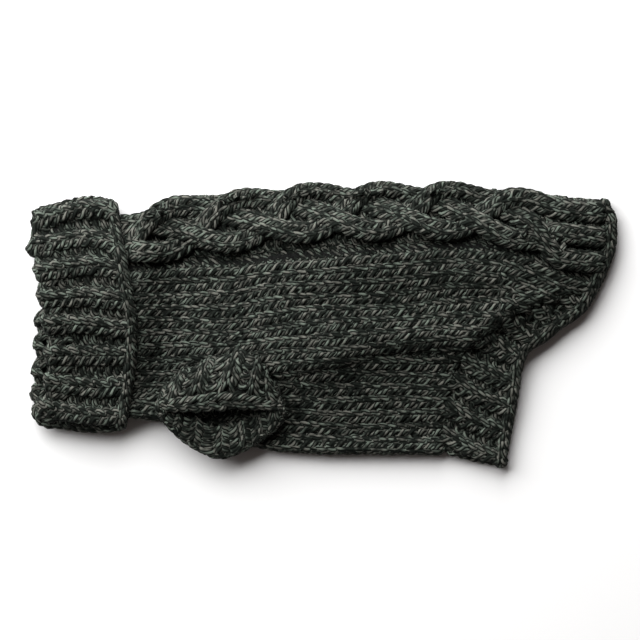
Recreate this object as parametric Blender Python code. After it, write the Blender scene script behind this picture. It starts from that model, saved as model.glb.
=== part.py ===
"""Hand-knitted dog sweater, lying flat on its side on a table.

The garment is knitted in bulky yarn.  It has a back panel with a plaited cable along the
spine, a belly panel sewn to it along both sides with a leg opening left in each seam, a
ribbed turtleneck collar folded down over itself, a ribbed band at the end of the belly,
a ribbed edge round the tail end of the back, and two short ribbed leg cuffs.

+X runs from the neck to the tail, +Y from the belly to the spine, +Z up off the table.
The origin is under the middle of the garment, on the table.  The left side of the garment
is uppermost ("near"); the right side lies on the table ("far").

All sizes below are in millimetres.
"""
from math import cos, pi, sin

import bmesh
import bpy
import numpy as np

# ---------------------------------------------------------------- driving dimensions
MM = 0.001
MIDDLE_X = -0.10           # middle of the garment's outline, which is set over the origin
MIDDLE_Y = -0.24

WALL = 4.2                 # thickness of the knitted cloth
CUFF_WALL = 3.6            # the leg cuffs are knitted a little tighter
SEAM_GAP = 0.3             # clearance between two pieces that are sewn together
SLANTED_SEAM = 2.0         # longer steps across the seams that run at a slant
PANEL_GAP = 0.8            # air between the near and the far panel
LAYER_GAP = 0.4            # air between the two layers of the folded collar
BODY_FULL = 12.0           # extra air under the near panel, where the body is fullest
NECK_FULL = 8.5            # the same at the collar,
NECK_FULL_TO_X = -103.0    # up to here,
NECK_EASE = 28.0           # going over to the body's over this length
BACK_STEP = 8.0            # how far the back stands above the belly and the hem,
STEP_BELOW = 9.0           # from this far below its lower end
STEP_LENGTH = 20.0         # over this length
STEP_AT_SPINE = 0.35       # share of the step at the spine fold,
STEP_SPINE_SHARE = 0.16    # which is all there from this share of the way to the belly

SPINE_FOLD = 5.0           # how far the spine fold rounds out, in Y
BELLY_FOLD = 5.0           # the same at the belly
NECK_X = -118.0            # where the body is knitted on to the collar
LIFT_FROM_X = -103.0       # the body comes down off the collar from here,
LIFT_LENGTH = 18.0         # over this length

CABLE_HEIGHT = 4.4         # how far the plait stands above the panel
CABLE_LANE = 12.0          # sideways swing of each strand of the plait
CABLE_STRAND = 7.4         # half the width of one strand
HUMP_POWER = 0.6           # how full the strands and the gutter are across: 0.5 is round
CABLE_REPEAT = 115.2       # length over which one strand comes back to its lane
CABLE_SHEAR = 0.55         # how much quicker a strand comes down than it goes up
CABLE_CROSSING = 0.28      # share of the height that a strand loses where it passes under
CABLE_FROM_X = -108.0      # the plait comes out from under the collar here,
CABLE_EASE = 14.0          # and has its full height after this length
CABLE_FIRST_HUMP = -79.0   # X where a strand first touches the spine edge
CABLE_STRAIGHT_X = 112.0   # beyond this the strands run straight to the tail,
CABLE_PARTS = 18.0         # when they have come into their end lanes over this length
CABLE_ENDS = (-2.8, 10.5, -16.5)         # end lanes of the strands, from the plait's middle
SPINE_HUMP = 0.6           # how far a strand in its upper lane pushes the spine edge out
GUTTER_DEPTH = 1.2         # purl gutter along the lower side of the plait
GUTTER_HALF_WIDTH = 5.0
GUTTER_ABOVE = 2.5         # its middle lies this far above the stocking stitch

COLLAR_MIDDLE_X = -135.0   # the collar's width is taken here
COLLAR_FIRST_RIB = 14.3    # the first rib, from the upper fold
COLLAR_RIB_PITCH = 16.15
COLLAR_RIB_HEIGHT = 2.2
COLLAR_RIB_ENDS = (0.12, 0.10)           # shares over which it eases in at fold and edge
COLLAR_RIB_SIDES = 0.03    # the same towards the two long sides
COLLAR_EDGE_ROUND = 0.5    # the collar's free edge rounds off by this much
BAND_FIRST_RIB = 9.25      # the first rib, along the cast-off edge from the spine
BAND_RIB_PITCH = 13.8
BAND_RIB_HEIGHT = 2.0
BAND_BEND = 0.006          # the ribs bend aside by this, times their length squared
BAND_STATIONS = (0.0, 0.15, 0.3, 0.45, 0.6, 0.8, 0.93, 1.0)    # shares of its width
BAND_CHAIN = {"height_share": 0.6, "from_share": 0.8, "share_ease": 0.15}
EDGE_ROUND = 1.2           # the bands' cast-off edges round off by this much,
EDGE_ROUND_FROM = 0.93     # from this share of their width
RIB_POWER = 0.8            # how full the ribs are: 1 is a plain wave
CUFF_RIBS = 13
CUFF_RIB_HEIGHT = 1.3
CUFF_RIB_EASE = 0.3        # share of the cuff's width over which its ribs rise

LEG_OPENING = {"x": -56.5, "half_length": 28.0, "half_height": 17.5, "power": 0.75}
FLAT_CUFF = {"inset": 0.9, "mouth_half_length": 17.0, "mouth_half_height": 1.2,
             "corner_reach": 0.25}
CUFF_BASE = {"x": -56.5, "y": -34.5, "half_length": 31.5, "half_height": 21.5,
             "power": 1.45, "apex_shift": 11.0}
CUFF_CLEAR = 0.78          # the near cuff lies this far off the panel
CUFF_RISE = 12.5           # how high the upper lip of the near cuff stands off the panel
CUFF_SIDE_RISE = 6.5       # the same at the two ends of its mouth
CUFF_RISE_POWER = 0.8      # how soon the upper lip has its height, from the ends
CUFF_LEAN = 0.7            # how much later the upper side leans over to the lip
CUFF_SWELL = 0.9           # how quickly the wall rises off the panel: 1 is a quarter wave

CHARCOAL = (0.030, 0.034, 0.030, 1.0)
CHARCOAL_COLLAR = (0.038, 0.042, 0.038, 1.0)

# The spine edge and the belly edge of the body, seen from above.
SPINE_EDGE = [  # (x, y)
    (-118.0, 61.0), (-109.0, 61.0), (-101.0, 62.5), (-93.0, 66.5), (-79.0, 71.0),
    (-40.5, 74.0), (-13.0, 75.5), (42.0, 76.2), (88.0, 75.8), (124.5, 73.0),
    (141.0, 71.0), (160.0, 69.5),
]
BELLY_EDGE = [  # (x, y); it runs on level past the ribbed band, to carry the wales
    (-118.0, -51.0), (-101.0, -52.5), (-90.0, -54.0), (-68.0, -60.5), (-46.0, -66.0),
    (-24.0, -70.5), (9.0, -72.0), (42.0, -72.0), (66.0, -72.5), (160.0, -72.5),
]
SIDE_SEAM = [  # (x, y), through the middle of the leg opening
    (-118.0, -37.0), (-88.0, -37.0), (-56.5, -34.5), (-21.5, -30.5), (14.5, -23.0),
    (42.0, -17.0), (80.0, -15.5),
]
CABLE_CENTRE = [  # (x, y) of the middle of the plait
    (-118.0, 46.0), (-95.5, 51.0), (-68.0, 55.0), (-40.5, 58.5), (-13.0, 62.5),
    (17.0, 63.5), (60.0, 64.0), (82.0, 62.5), (97.0, 60.5), (110.0, 58.0), (132.0, 53.0),
    (152.0, 51.0),
]
GUTTER = [  # (x, y) of the upper edge of the stocking stitch, under the plait
    (-118.0, 32.0), (-96.0, 33.0), (-52.0, 33.6), (-36.0, 36.0), (-18.0, 38.1),
    (43.0, 41.2), (70.0, 44.0), (97.0, 43.4), (110.0, 40.0), (119.0, 35.5),
    (132.0, 29.5), (154.0, 21.0),
]
# Where the body ends, and the cast-off edge of the ribbing that continues it.
TAIL_END = [  # (x_body, y_body, x_edge, y_edge), from the spine to the belly
    (154.0, 65.0, 158.0, 65.0), (154.0, 57.0, 161.4, 58.0), (154.0, 46.0, 161.2, 47.0),
    (153.5, 34.5, 158.0, 34.5), (152.0, 28.0, 154.8, 26.5), (146.5, 20.5, 150.5, 17.5),
    (134.0, 14.0, 143.0, 6.5), (120.0, 8.0, 131.5, -1.5), (104.5, 1.5, 123.0, -8.5),
    (90.0, -6.5, 113.5, -14.5), (79.0, -16.0, 109.5, -23.5), (71.5, -29.0, 107.5, -37.0),
    (67.5, -44.0, 105.0, -51.0), (66.0, -58.0, 102.5, -64.0), (65.5, -67.5, 100.5, -74.8),
]
PLAIT_ROWS = 4             # rows of that table down to the lower side of the plait
# The folded collar: its two long sides, then its fold and its free edge.
COLLAR_TOP = [  # (x, y)
    (-163.0, 58.0), (-160.5, 62.0), (-157.0, 65.5), (-150.0, 67.5), (-143.5, 69.5),
    (-130.5, 72.0), (-120.0, 71.0), (-114.0, 68.0), (-104.0, 65.0),
]
COLLAR_BOTTOM = [  # (x, y)
    (-163.0, -47.0), (-161.5, -50.0), (-158.5, -53.0), (-150.5, -56.5), (-143.5, -58.0),
    (-130.5, -59.5), (-122.5, -60.0), (-114.5, -59.0), (-104.0, -56.0),
]
COLLAR_RIM = [  # (share of the way down, x of the near fold, of the far fold, of the edge)
    (0.00, -160.0, -160.0, -113.5), (0.05, -163.0, -163.0, -112.5),
    (0.14, -161.5, -161.0, -110.5), (0.25, -158.5, -159.0, -108.5),
    (0.44, -156.0, -157.5, -105.0), (0.53, -154.5, -159.5, -103.5),
    (0.66, -153.0, -160.0, -104.0), (0.78, -153.0, -160.5, -105.0),
    (0.88, -154.0, -161.5, -106.5), (1.00, -158.5, -161.5, -109.0),
]
# How the wales under the plait bend down near the tail.
DROOP = {"depth": 9.0, "from_x": 96.0, "length": 46.0, "from_share": 0.24, "share_ease": 0.12}
# How full the near side lies.
NECK_ACROSS = [  # (share of the way from spine to belly, share of the full neck)
    (0.0, 0.2), (0.08, 0.6), (0.2, 0.94), (0.34, 1.0), (0.5, 0.84), (0.66, 0.44),
    (0.82, 0.14), (1.0, 0.0),
]
FULL_ALONG = [  # (x, share of the full body)
    (-100.0, 0.25), (-75.0, 0.45), (-45.0, 0.78), (-15.0, 1.0), (30.0, 0.9), (80.0, 0.5),
    (120.0, 0.2), (154.0, 0.05),
]
FULL_ACROSS = [  # (share of the way from spine to belly, share of the full body)
    (0.0, 0.25), (0.08, 0.62), (0.2, 1.0), (0.36, 0.92), (0.5, 0.82), (0.64, 0.74),
    (0.76, 0.52), (0.88, 0.2), (0.95, 0.04), (1.0, 0.0),
]
# The back steps down to the belly and the hem along its lower end.
BACK_END = [  # (x, y) of the side seam, then of the hem
    (-118.0, -37.0), (-88.0, -37.0), (-56.5, -34.5), (-21.5, -30.5), (14.5, -23.0),
    (42.0, -17.0), (79.0, -16.0), (90.0, -6.5), (104.5, 1.5), (120.0, 8.0), (134.0, 14.0),
    (146.5, 20.5), (152.0, 28.0), (153.5, 34.5), (154.0, 46.0),
]
STEP_ALONG = [  # (x, share of the step)
    (-70.0, 0.0), (-25.0, 0.45), (5.0, 1.0), (90.0, 1.0), (120.0, 0.8), (142.0, 0.3),
    (154.0, 0.0),
]
# Soft creases of the near panel: from, to, half width and depth.
CREASES = [  # (x0, y0, x1, y1, half_width, depth)
    (-5.0, 12.0, 84.0, 12.0, 18.0, 1.8),
    (-98.0, 20.0, -58.0, 24.0, 7.0, 0.7),
    (84.0, 14.0, 118.0, 22.0, 8.0, 0.9),
    (-102.0, -44.0, -92.0, -18.0, 9.0, 1.6),
    (-20.0, -16.0, -14.0, -50.0, 9.0, 1.4),
]
# Rim of the near leg cuff's mouth, and the height of its wall above the panel.
CUFF_LIP = {"left": (-92.0, -43.5), "right": (-21.5, -48.0),
            "upper_y": -45.5, "lower_y": -72.5, "lower_power": 1.42}


# ---------------------------------------------------------------- small helpers
CURVES = {}                # slopes of the curves through the tables above


def curve_slopes(xs, ys):
    """Slopes at the knots of a smooth curve that never overshoots its points."""
    steps = np.diff(ys) / np.diff(xs)
    slopes = np.zeros(len(xs))
    slopes[0] = steps[0]
    slopes[-1] = steps[-1]
    for k in range(1, len(xs) - 1):
        if steps[k - 1] * steps[k] > 0.0:
            slopes[k] = 2.0 * steps[k - 1] * steps[k] / (steps[k - 1] + steps[k])
    return slopes


def curve_at(xs, ys, slopes, x):
    """Read a smooth curve at x; beyond its ends it stays level."""
    x = min(max(x, xs[0]), xs[-1])
    k = min(int(np.searchsorted(xs, x, side="right")) - 1, len(xs) - 2)
    span = xs[k + 1] - xs[k]
    t = (x - xs[k]) / span
    start = (1.0 + 2.0 * t) * (1.0 - t) ** 2 * ys[k] + t * (1.0 - t) ** 2 * span * slopes[k]
    end = t * t * (3.0 - 2.0 * t) * ys[k + 1] - t * t * (1.0 - t) * span * slopes[k + 1]
    return float(start + end)


def along(table, x, column=1):
    """Read a column of a table at x, on a smooth curve through its rows."""
    key = (id(table), column)
    if key not in CURVES:
        xs = np.array([row[0] for row in table])
        ys = np.array([row[column] for row in table])
        CURVES[key] = (xs, ys, curve_slopes(xs, ys))
    return curve_at(*CURVES[key], x)


def smooth(value):
    """Ease from 0 to 1 as value goes from 0 to 1."""
    value = min(1.0, max(0.0, value))
    return value * value * (3.0 - 2.0 * value)


def hump(distance, half_width):
    """A round bump: 1 at no distance, 0 at half_width and beyond."""
    share = abs(distance) / half_width
    return (1.0 - share * share) ** HUMP_POWER if share < 1.0 else 0.0


def charcoal_knit(name, colour):
    """A plain woollen finish."""
    material = bpy.data.materials.new(name)
    material.use_nodes = True
    shader = material.node_tree.nodes["Principled BSDF"]
    shader.inputs["Base Color"].default_value = colour
    shader.inputs["Roughness"].default_value = 0.95
    shader.inputs["Metallic"].default_value = 0.0
    return material


def add_piece(collection, name, points, faces, material):
    """Make one closed piece from points in millimetres."""
    mesh = bpy.data.meshes.new(name)
    placed = [((x - MIDDLE_X) * MM, (y - MIDDLE_Y) * MM, z * MM) for x, y, z in points]
    mesh.from_pydata(placed, [], faces)
    work = bmesh.new()
    work.from_mesh(mesh)
    bmesh.ops.triangulate(work, faces=work.faces[:])
    bmesh.ops.recalc_face_normals(work, faces=work.faces[:])
    work.to_mesh(mesh)
    work.free()
    mesh.shade_smooth()
    mesh.materials.append(material)
    piece = bpy.data.objects.new(name, mesh)
    collection.objects.link(piece)
    return piece


# ---------------------------------------------------------------- lofts
class Loft:
    """Points and faces of one wall, built from grids."""

    def __init__(self):
        self.points = []
        self.faces = []

    def grid(self, rows, closed_across=False, closed_along=False):
        """Add a grid of points with faces between its rows; return the point numbers."""
        start = len(self.points)
        across = len(rows[0])
        numbers = [[start + r * across + c for c in range(across)] for r in range(len(rows))]
        for row in rows:
            self.points.extend(row)
        row_steps = len(rows) if closed_along else len(rows) - 1
        column_steps = across if closed_across else across - 1
        for r in range(row_steps):
            for c in range(column_steps):
                low = numbers[r]
                high = numbers[(r + 1) % len(rows)]
                after = (c + 1) % across
                self.faces.append((low[c], low[after], high[after], high[c]))
        return numbers

    def zip_edges(self, first, second):
        """Fill the strip between two edges that may have different numbers of points."""
        i = 0
        j = 0
        while i < len(first) - 1 or j < len(second) - 1:
            next_first = (i + 1) / (len(first) - 1)
            next_second = (j + 1) / (len(second) - 1)
            if next_second < next_first - 1e-9:
                self.faces.append((first[i], second[j + 1], second[j]))
                j += 1
            elif next_first < next_second - 1e-9:
                self.faces.append((first[i], first[i + 1], second[j]))
                i += 1
            else:
                self.faces.append((first[i], first[i + 1], second[j + 1], second[j]))
                i += 1
                j += 1

    def wall(self, outer_rows, inner_rows):
        """Add a cloth wall: an outer and an inner grid, closed round their four edges."""
        outer = self.grid(outer_rows)
        inner = self.grid(inner_rows)
        self.zip_edges(outer[0], inner[0])
        self.zip_edges(outer[-1], inner[-1])
        self.zip_edges([row[0] for row in outer], [row[0] for row in inner])
        self.zip_edges([row[-1] for row in outer], [row[-1] for row in inner])


# ---------------------------------------------------------------- the body's form
def body_lift(x):
    """Height of the far panel off the table: it climbs on to the collar near the neck."""
    return (WALL + LAYER_GAP) * (1.0 - smooth((x - LIFT_FROM_X) / LIFT_LENGTH))


def wale_droop(x, q):
    """The wales under the plait bend down towards the slanted edge of the back."""
    return (DROOP["depth"] * smooth((x - DROOP["from_x"]) / DROOP["length"])
            * smooth((q - DROOP["from_share"]) / DROOP["share_ease"]))


def wale_y(x, q):
    """Y of the wale at share q of the way from the spine fold to the belly fold."""
    top = along(SPINE_EDGE, x) - SPINE_FOLD
    bottom = along(BELLY_EDGE, x) + BELLY_FOLD
    return top - q * (top - bottom) - wale_droop(x, q)


def wale_share(x, y):
    """The share q whose wale passes through (x, y)."""
    low = -0.2
    high = 1.2
    for _ in range(30):
        middle = (low + high) / 2.0
        if wale_y(x, middle) > y:
            low = middle
        else:
            high = middle
    return (low + high) / 2.0


TAIL_SHARES = [0.0] + [wale_share(row[0], row[1]) for row in TAIL_END[1:-1]] + [1.0]
TAIL_CURVES = [(q,) + row for q, row in zip(TAIL_SHARES, TAIL_END)]


def tail_end(q, column):
    """One column of the tail end table, read at share q."""
    return along(TAIL_CURVES, q, column + 1)


def body_x(u, q):
    """X at share u of the way from the neck to the tail, along the wale q."""
    return NECK_X + u * (tail_end(q, 0) - NECK_X)


def level_share(x, y):
    """Share of the way from the spine fold to the belly fold, straight across at x."""
    top = along(SPINE_EDGE, x) - SPINE_FOLD
    bottom = along(BELLY_EDGE, x) + BELLY_FOLD
    return min(1.0, max(0.0, (top - y) / (top - bottom)))


def fullness(x, y):
    """How much higher the near side lies than flat cloth would, but for the back's step."""
    q = level_share(x, y)
    neck = 1.0 - smooth((x - NECK_FULL_TO_X) / NECK_EASE)
    body = BODY_FULL * along(FULL_ALONG, x) * along(FULL_ACROSS, q)
    return body + neck * (NECK_FULL * along(NECK_ACROSS, q) - body)


def back_step(x, y):
    """How much higher the back stands than the belly and the hem."""
    below = y - along(BACK_END, x) + STEP_BELOW
    step = BACK_STEP * along(STEP_ALONG, x) * smooth(below / STEP_LENGTH)
    away = smooth(level_share(x, y) / STEP_SPINE_SHARE)
    return step * (STEP_AT_SPINE + (1.0 - STEP_AT_SPINE) * away)


def strand_angle(x, strand):
    """Where a strand of the plait is in its swing at x."""
    held = min(x, CABLE_STRAIGHT_X)
    even = 2.0 * pi * ((held - CABLE_FIRST_HUMP) / CABLE_REPEAT + strand / 3.0)
    return even - CABLE_SHEAR * (0.5 - 0.5 * cos(even))


def strand_lane(x, strand):
    """Y of the middle of a strand of the plait, which ends in a straight lane."""
    straight = smooth((x - CABLE_STRAIGHT_X) / CABLE_PARTS)
    swung = CABLE_LANE * cos(strand_angle(x, strand))
    return along(CABLE_CENTRE, x) + swung + straight * (CABLE_ENDS[strand] - swung)


def cable_relief(x, y):
    """Height of the plait over the panel, and of the gutter beside it."""
    ease = smooth((x - CABLE_FROM_X) / CABLE_EASE)
    height = 0.0
    for strand in range(3):
        lying = 1.0 - CABLE_CROSSING * (1.0 + sin(2.0 * strand_angle(x, strand)))
        lane = strand_lane(x, strand)
        height = max(height, CABLE_HEIGHT * lying * hump(y - lane, CABLE_STRAND))
    height -= GUTTER_DEPTH * hump(y - along(GUTTER, x) - GUTTER_ABOVE, GUTTER_HALF_WIDTH)
    return ease * height


def crease_relief(x, y):
    """Depth of the soft creases at a point of the near panel."""
    depth = 0.0
    for x0, y0, x1, y1, half_width, deepest in CREASES:
        length_squared = (x1 - x0) ** 2 + (y1 - y0) ** 2
        share = ((x - x0) * (x1 - x0) + (y - y0) * (y1 - y0)) / length_squared
        share = min(1.0, max(0.0, share))
        aside = ((x - x0 - share * (x1 - x0)) ** 2 + (y - y0 - share * (y1 - y0)) ** 2) ** 0.5
        depth += deepest * smooth(1.0 - aside / half_width)
    return depth


def panel_gap(x, y):
    """Air between the panels."""
    return PANEL_GAP + max(0.0, fullness(x, y) + back_step(x, y) - crease_relief(x, y))


def near_top(x, y):
    """Height of the near panel's outer face, without the plait."""
    return body_lift(x) + 2.0 * WALL + panel_gap(x, y)


def spine_hump(x):
    """How far the plait pushes the spine edge out."""
    ease = (smooth((x - CABLE_FROM_X) / CABLE_EASE)
            * smooth((CABLE_STRAIGHT_X + CABLE_EASE - x) / CABLE_EASE))
    turn = 6.0 * pi * (x - CABLE_FIRST_HUMP) / CABLE_REPEAT
    return ease * SPINE_HUMP * (1.0 + cos(turn))


def body_section(x_of, y_of, v, inner, relief_of):
    """One point of the flattened tube.

    v goes round it: 0 to 1 over the near panel from spine to belly, 1 to 2 round the
    belly fold, 2 to 3 over the far panel back to the spine, 3 to 4 round the spine fold.
    """
    skin = WALL if inner else 0.0
    if v <= 1.0 or v >= 4.0:
        q = v if v <= 1.0 else 0.0
        x = x_of(q)
        y = y_of(q)
        if inner:
            return (x, y, body_lift(x) + WALL + panel_gap(x, y))
        return (x, y, near_top(x, y) + relief_of(q))
    if 2.0 <= v <= 3.0:
        q = 3.0 - v
        x = x_of(q)
        return (x, y_of(q), body_lift(x) + skin)
    at_belly = v < 2.0
    q = 1.0 if at_belly else 0.0
    x = x_of(q)
    y = y_of(q)
    low = body_lift(x)
    high = near_top(x, y) + relief_of(q)
    turn = pi * (v - 1.0) if at_belly else pi * (4.0 - v)
    if inner:
        low += WALL
        high = body_lift(x) + WALL + panel_gap(x, y)
    reach = (BELLY_FOLD if at_belly else SPINE_FOLD + spine_hump(x)) - skin
    side = -1.0 if at_belly else 1.0
    middle = (low + high) / 2.0
    return (x, y + side * reach * sin(turn), middle + (high - middle) * cos(turn))


# ---------------------------------------------------------------- back and belly
def seam_offset(x):
    """Half the distance between back and belly: a seam, or the leg opening."""
    share = (x - LEG_OPENING["x"]) / LEG_OPENING["half_length"]
    bow = (1.0 - share * share) ** LEG_OPENING["power"] if abs(share) < 1.0 else 0.0
    return max(LEG_OPENING["half_height"] * bow, SEAM_GAP / 2.0)


def seam_share(u, side):
    """Share q of the panel's edge at station u; side is +1 for the back, -1 for the belly."""
    q = 0.7
    for _ in range(12):
        x = body_x(u, q)
        q = wale_share(x, along(SIDE_SEAM, x) + side * seam_offset(x))
    return q


BACK_AT_TAIL = seam_share(1.0, 1.0)      # where the side seam meets the tail end
BELLY_AT_TAIL = seam_share(1.0, -1.0)


def corner_shares(start, end):
    """The tail end's own corners between two shares q, and the places midway between
    them, as fractions of the way."""
    inside = [q for q in TAIL_SHARES if start + 0.02 < q < end - 0.02]
    corners = [start] + inside + [end]
    halves = [(a + b) / 2.0 for a, b in zip(corners, corners[1:])]
    return [(q - start) / (end - start) for q in sorted(corners + halves)]


def back_columns(edge, parts):
    """Places round the back panel, from the near side seam over the spine to the far one."""
    plait_edge = TAIL_SHARES[PLAIT_ROWS]
    corners = corner_shares(plait_edge, BACK_AT_TAIL)
    plain = [plait_edge + (edge - plait_edge) * f for f in corners[1:]]
    plait = [a + (b - a) * k / parts
             for a, b in zip(TAIL_SHARES[:PLAIT_ROWS], TAIL_SHARES[1:PLAIT_ROWS + 1])
             for k in range(parts)]
    fold = [4.0 - k / parts for k in range(1, parts)]
    far = [3.0 - q for q in TAIL_SHARES[:PLAIT_ROWS + 1] + plain]
    return (plait + [plait_edge] + plain)[::-1] + fold + far


def belly_columns(edge, parts):
    """Places round the belly panel, from the near side seam over the belly fold."""
    corners = corner_shares(BELLY_AT_TAIL, 1.0)
    plain = [edge + (1.0 - edge) * f for f in corners]
    fold = [1.0 + k / parts for k in range(1, parts)]
    return plain + fold + [3.0 - q for q in plain[::-1]]


def panel_row(u, places, inner):
    """One ring of the body at station u."""
    def x_of(q):
        return body_x(u, q)

    def y_of(q):
        return wale_y(body_x(u, q), q)

    def plait(q):
        return cable_relief(x_of(q), y_of(q))

    return [body_section(x_of, y_of, v, inner, plait) for v in places]


def panel_grid(columns_of, side, stations, inner):
    """A grid of the body between the neck and the tail, coarser on its inside."""
    parts = 2 if inner else 4
    return [panel_row(u, columns_of(seam_share(u, side), parts), inner) for u in stations]


def make_panel(collection, name, columns_of, side, steps, material):
    """The back (side +1) or the belly (side -1), with half as many steps on its inside."""
    loft = Loft()
    outer_stations = [k / steps for k in range(steps + 1)]
    inner_stations = outer_stations[::2]
    loft.wall(panel_grid(columns_of, side, outer_stations, False),
              panel_grid(columns_of, side, inner_stations, True))
    return add_piece(collection, name, loft.points, loft.faces, material)


# ---------------------------------------------------------------- ribbed bands of the hem
def band_point(q, t):
    """A place on the hem ribbing: t is 0 at the body and 1 at the cast-off edge."""
    x0 = tail_end(q, 0)
    y0 = wale_y(x0, q)
    x1 = tail_end(q, 2)
    y1 = tail_end(q, 3)
    width = ((x1 - x0) ** 2 + (y1 - y0) ** 2) ** 0.5
    share = SLANTED_SEAM * SEAM_GAP / width
    share += (1.0 - share) * t
    return (x0 + share * (x1 - x0), y0 + share * (y1 - y0))


EDGE_SHARES = np.linspace(0.0, 1.0, 301)
EDGE_POINTS = np.array([band_point(q, 1.0) for q in EDGE_SHARES])
EDGE_STEPS = np.linalg.norm(np.diff(EDGE_POINTS, axis=0), axis=1)
EDGE_LENGTHS = np.concatenate([[0.0], np.cumsum(EDGE_STEPS)])


def edge_length(q):
    """Length along the cast-off edge from the spine to share q."""
    return float(np.interp(q, EDGE_SHARES, EDGE_LENGTHS))


def band_shares(start, end, pitch_share):
    """Shares q from start to end, evenly spaced along the cast-off edge."""
    first = edge_length(start)
    last = edge_length(end)
    count = max(2, round((last - first) / (BAND_RIB_PITCH * pitch_share)))
    wanted = np.linspace(first, last, count + 1)
    return [start] + [float(q) for q in np.interp(wanted[1:-1], EDGE_LENGTHS, EDGE_SHARES)] + [end]


def band_row(t, places, inner):
    """One ring of the ribbing at share t of its width."""
    def x_of(q):
        return band_point(q, t)[0]

    def y_of(q):
        return band_point(q, t)[1]

    def ribs(q):
        return band_relief(q, t)

    return [body_section(x_of, y_of, v, inner, ribs) for v in places]


def band_rows(shares, towards_belly, t_values, inner):
    """Rows of the ribbing from the near side, round its fold, to the far side."""
    if towards_belly:
        places = shares + [1.25, 1.5, 1.75] + [3.0 - q for q in shares[::-1]]
    else:
        places = shares[::-1] + [3.75, 3.5, 3.25] + [3.0 - q for q in shares]
    return [band_row(t, places, inner) for t in t_values]


def band_relief(q, t):
    """Height of the ribs over the band, rounding off at the cast-off edge."""
    x, y = band_point(q, t)
    from_edge = ((x - tail_end(q, 2)) ** 2 + (y - tail_end(q, 3)) ** 2) ** 0.5
    place = edge_length(q) + BAND_BEND * from_edge ** 2 - BAND_FIRST_RIB
    rib = (0.5 + 0.5 * cos(2.0 * pi * place / BAND_RIB_PITCH)) ** RIB_POWER
    chain = BAND_CHAIN["height_share"] * smooth((t - BAND_CHAIN["from_share"])
                                                / BAND_CHAIN["share_ease"])
    rounding = EDGE_ROUND * smooth((t - EDGE_ROUND_FROM) / (1.0 - EDGE_ROUND_FROM))
    return BAND_RIB_HEIGHT * (rib * (1.0 - chain) + chain) - rounding


def make_band(collection, name, start, end, towards_belly, material):
    """One ribbed band, wrapped round the spine or round the belly."""
    dense = band_shares(start, end, 1.0 / 5.0)
    sparse = band_shares(start, end, 1.0 / 2.0)
    loft = Loft()
    loft.wall(band_rows(dense, towards_belly, BAND_STATIONS, False),
              band_rows(sparse, towards_belly, [0.0, 0.5, 1.0], True))
    return add_piece(collection, name, loft.points, loft.faces, material)


# ---------------------------------------------------------------- collar
COLLAR_THICK = 4.0 * WALL + 2.0 * LAYER_GAP + PANEL_GAP
COLLAR_ROUND = COLLAR_THICK / 2.0
COLLAR_HAIRPIN = WALL + LAYER_GAP / 2.0


def collar_section(x, v, depth, rib):
    """A point of the collar at a depth under its outermost face, at place v round it."""
    top = along(COLLAR_TOP, x) - COLLAR_ROUND
    bottom = along(COLLAR_BOTTOM, x) + COLLAR_ROUND
    half = COLLAR_ROUND - depth
    low = COLLAR_ROUND - half
    if v <= 1.0 or v >= 4.0:
        q = v if v <= 1.0 else 0.0
        y = top - q * (top - bottom)
        return (x, y, COLLAR_ROUND + half + fullness(x, y) + rib)
    if 2.0 <= v <= 3.0:
        return (x, top - (3.0 - v) * (top - bottom), low)
    at_belly = v < 2.0
    y = bottom if at_belly else top
    high = COLLAR_ROUND + half + fullness(x, y) + rib
    turn = pi * (v - 1.0) if at_belly else pi * (4.0 - v)
    side = -1.0 if at_belly else 1.0
    middle = (low + high) / 2.0
    return (x, y + side * half * sin(turn), middle + (high - middle) * cos(turn))


def collar_rim(v):
    """X of the fold and of the free edge at place v round the collar."""
    if v <= 1.0:
        near = 1.0
        q = v
    elif v < 2.0:
        near = 2.0 - v
        q = 1.0
    elif v <= 3.0:
        near = 0.0
        q = 3.0 - v
    else:
        near = v - 3.0
        q = 0.0
    fold = near * along(COLLAR_RIM, q, 1) + (1.0 - near) * along(COLLAR_RIM, q, 2)
    return fold, along(COLLAR_RIM, q, 3)


def collar_rib(v, along_share):
    """Rib height on the outer face of the near side."""
    if v > 1.0:
        return 0.0
    span = (along(COLLAR_TOP, COLLAR_MIDDLE_X) - along(COLLAR_BOTTOM, COLLAR_MIDDLE_X)
            - 2.0 * COLLAR_ROUND)
    turn = 2.0 * pi * (v * span - COLLAR_FIRST_RIB) / COLLAR_RIB_PITCH
    rib = (0.5 + 0.5 * cos(turn)) ** RIB_POWER
    at_fold, at_edge = COLLAR_RIB_ENDS
    ends = smooth(along_share / at_fold) * smooth((1.0 - along_share) / at_edge)
    sides = smooth(v / COLLAR_RIB_SIDES) * smooth((1.0 - v) / COLLAR_RIB_SIDES)
    return COLLAR_RIB_HEIGHT * rib * ends * sides


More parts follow.
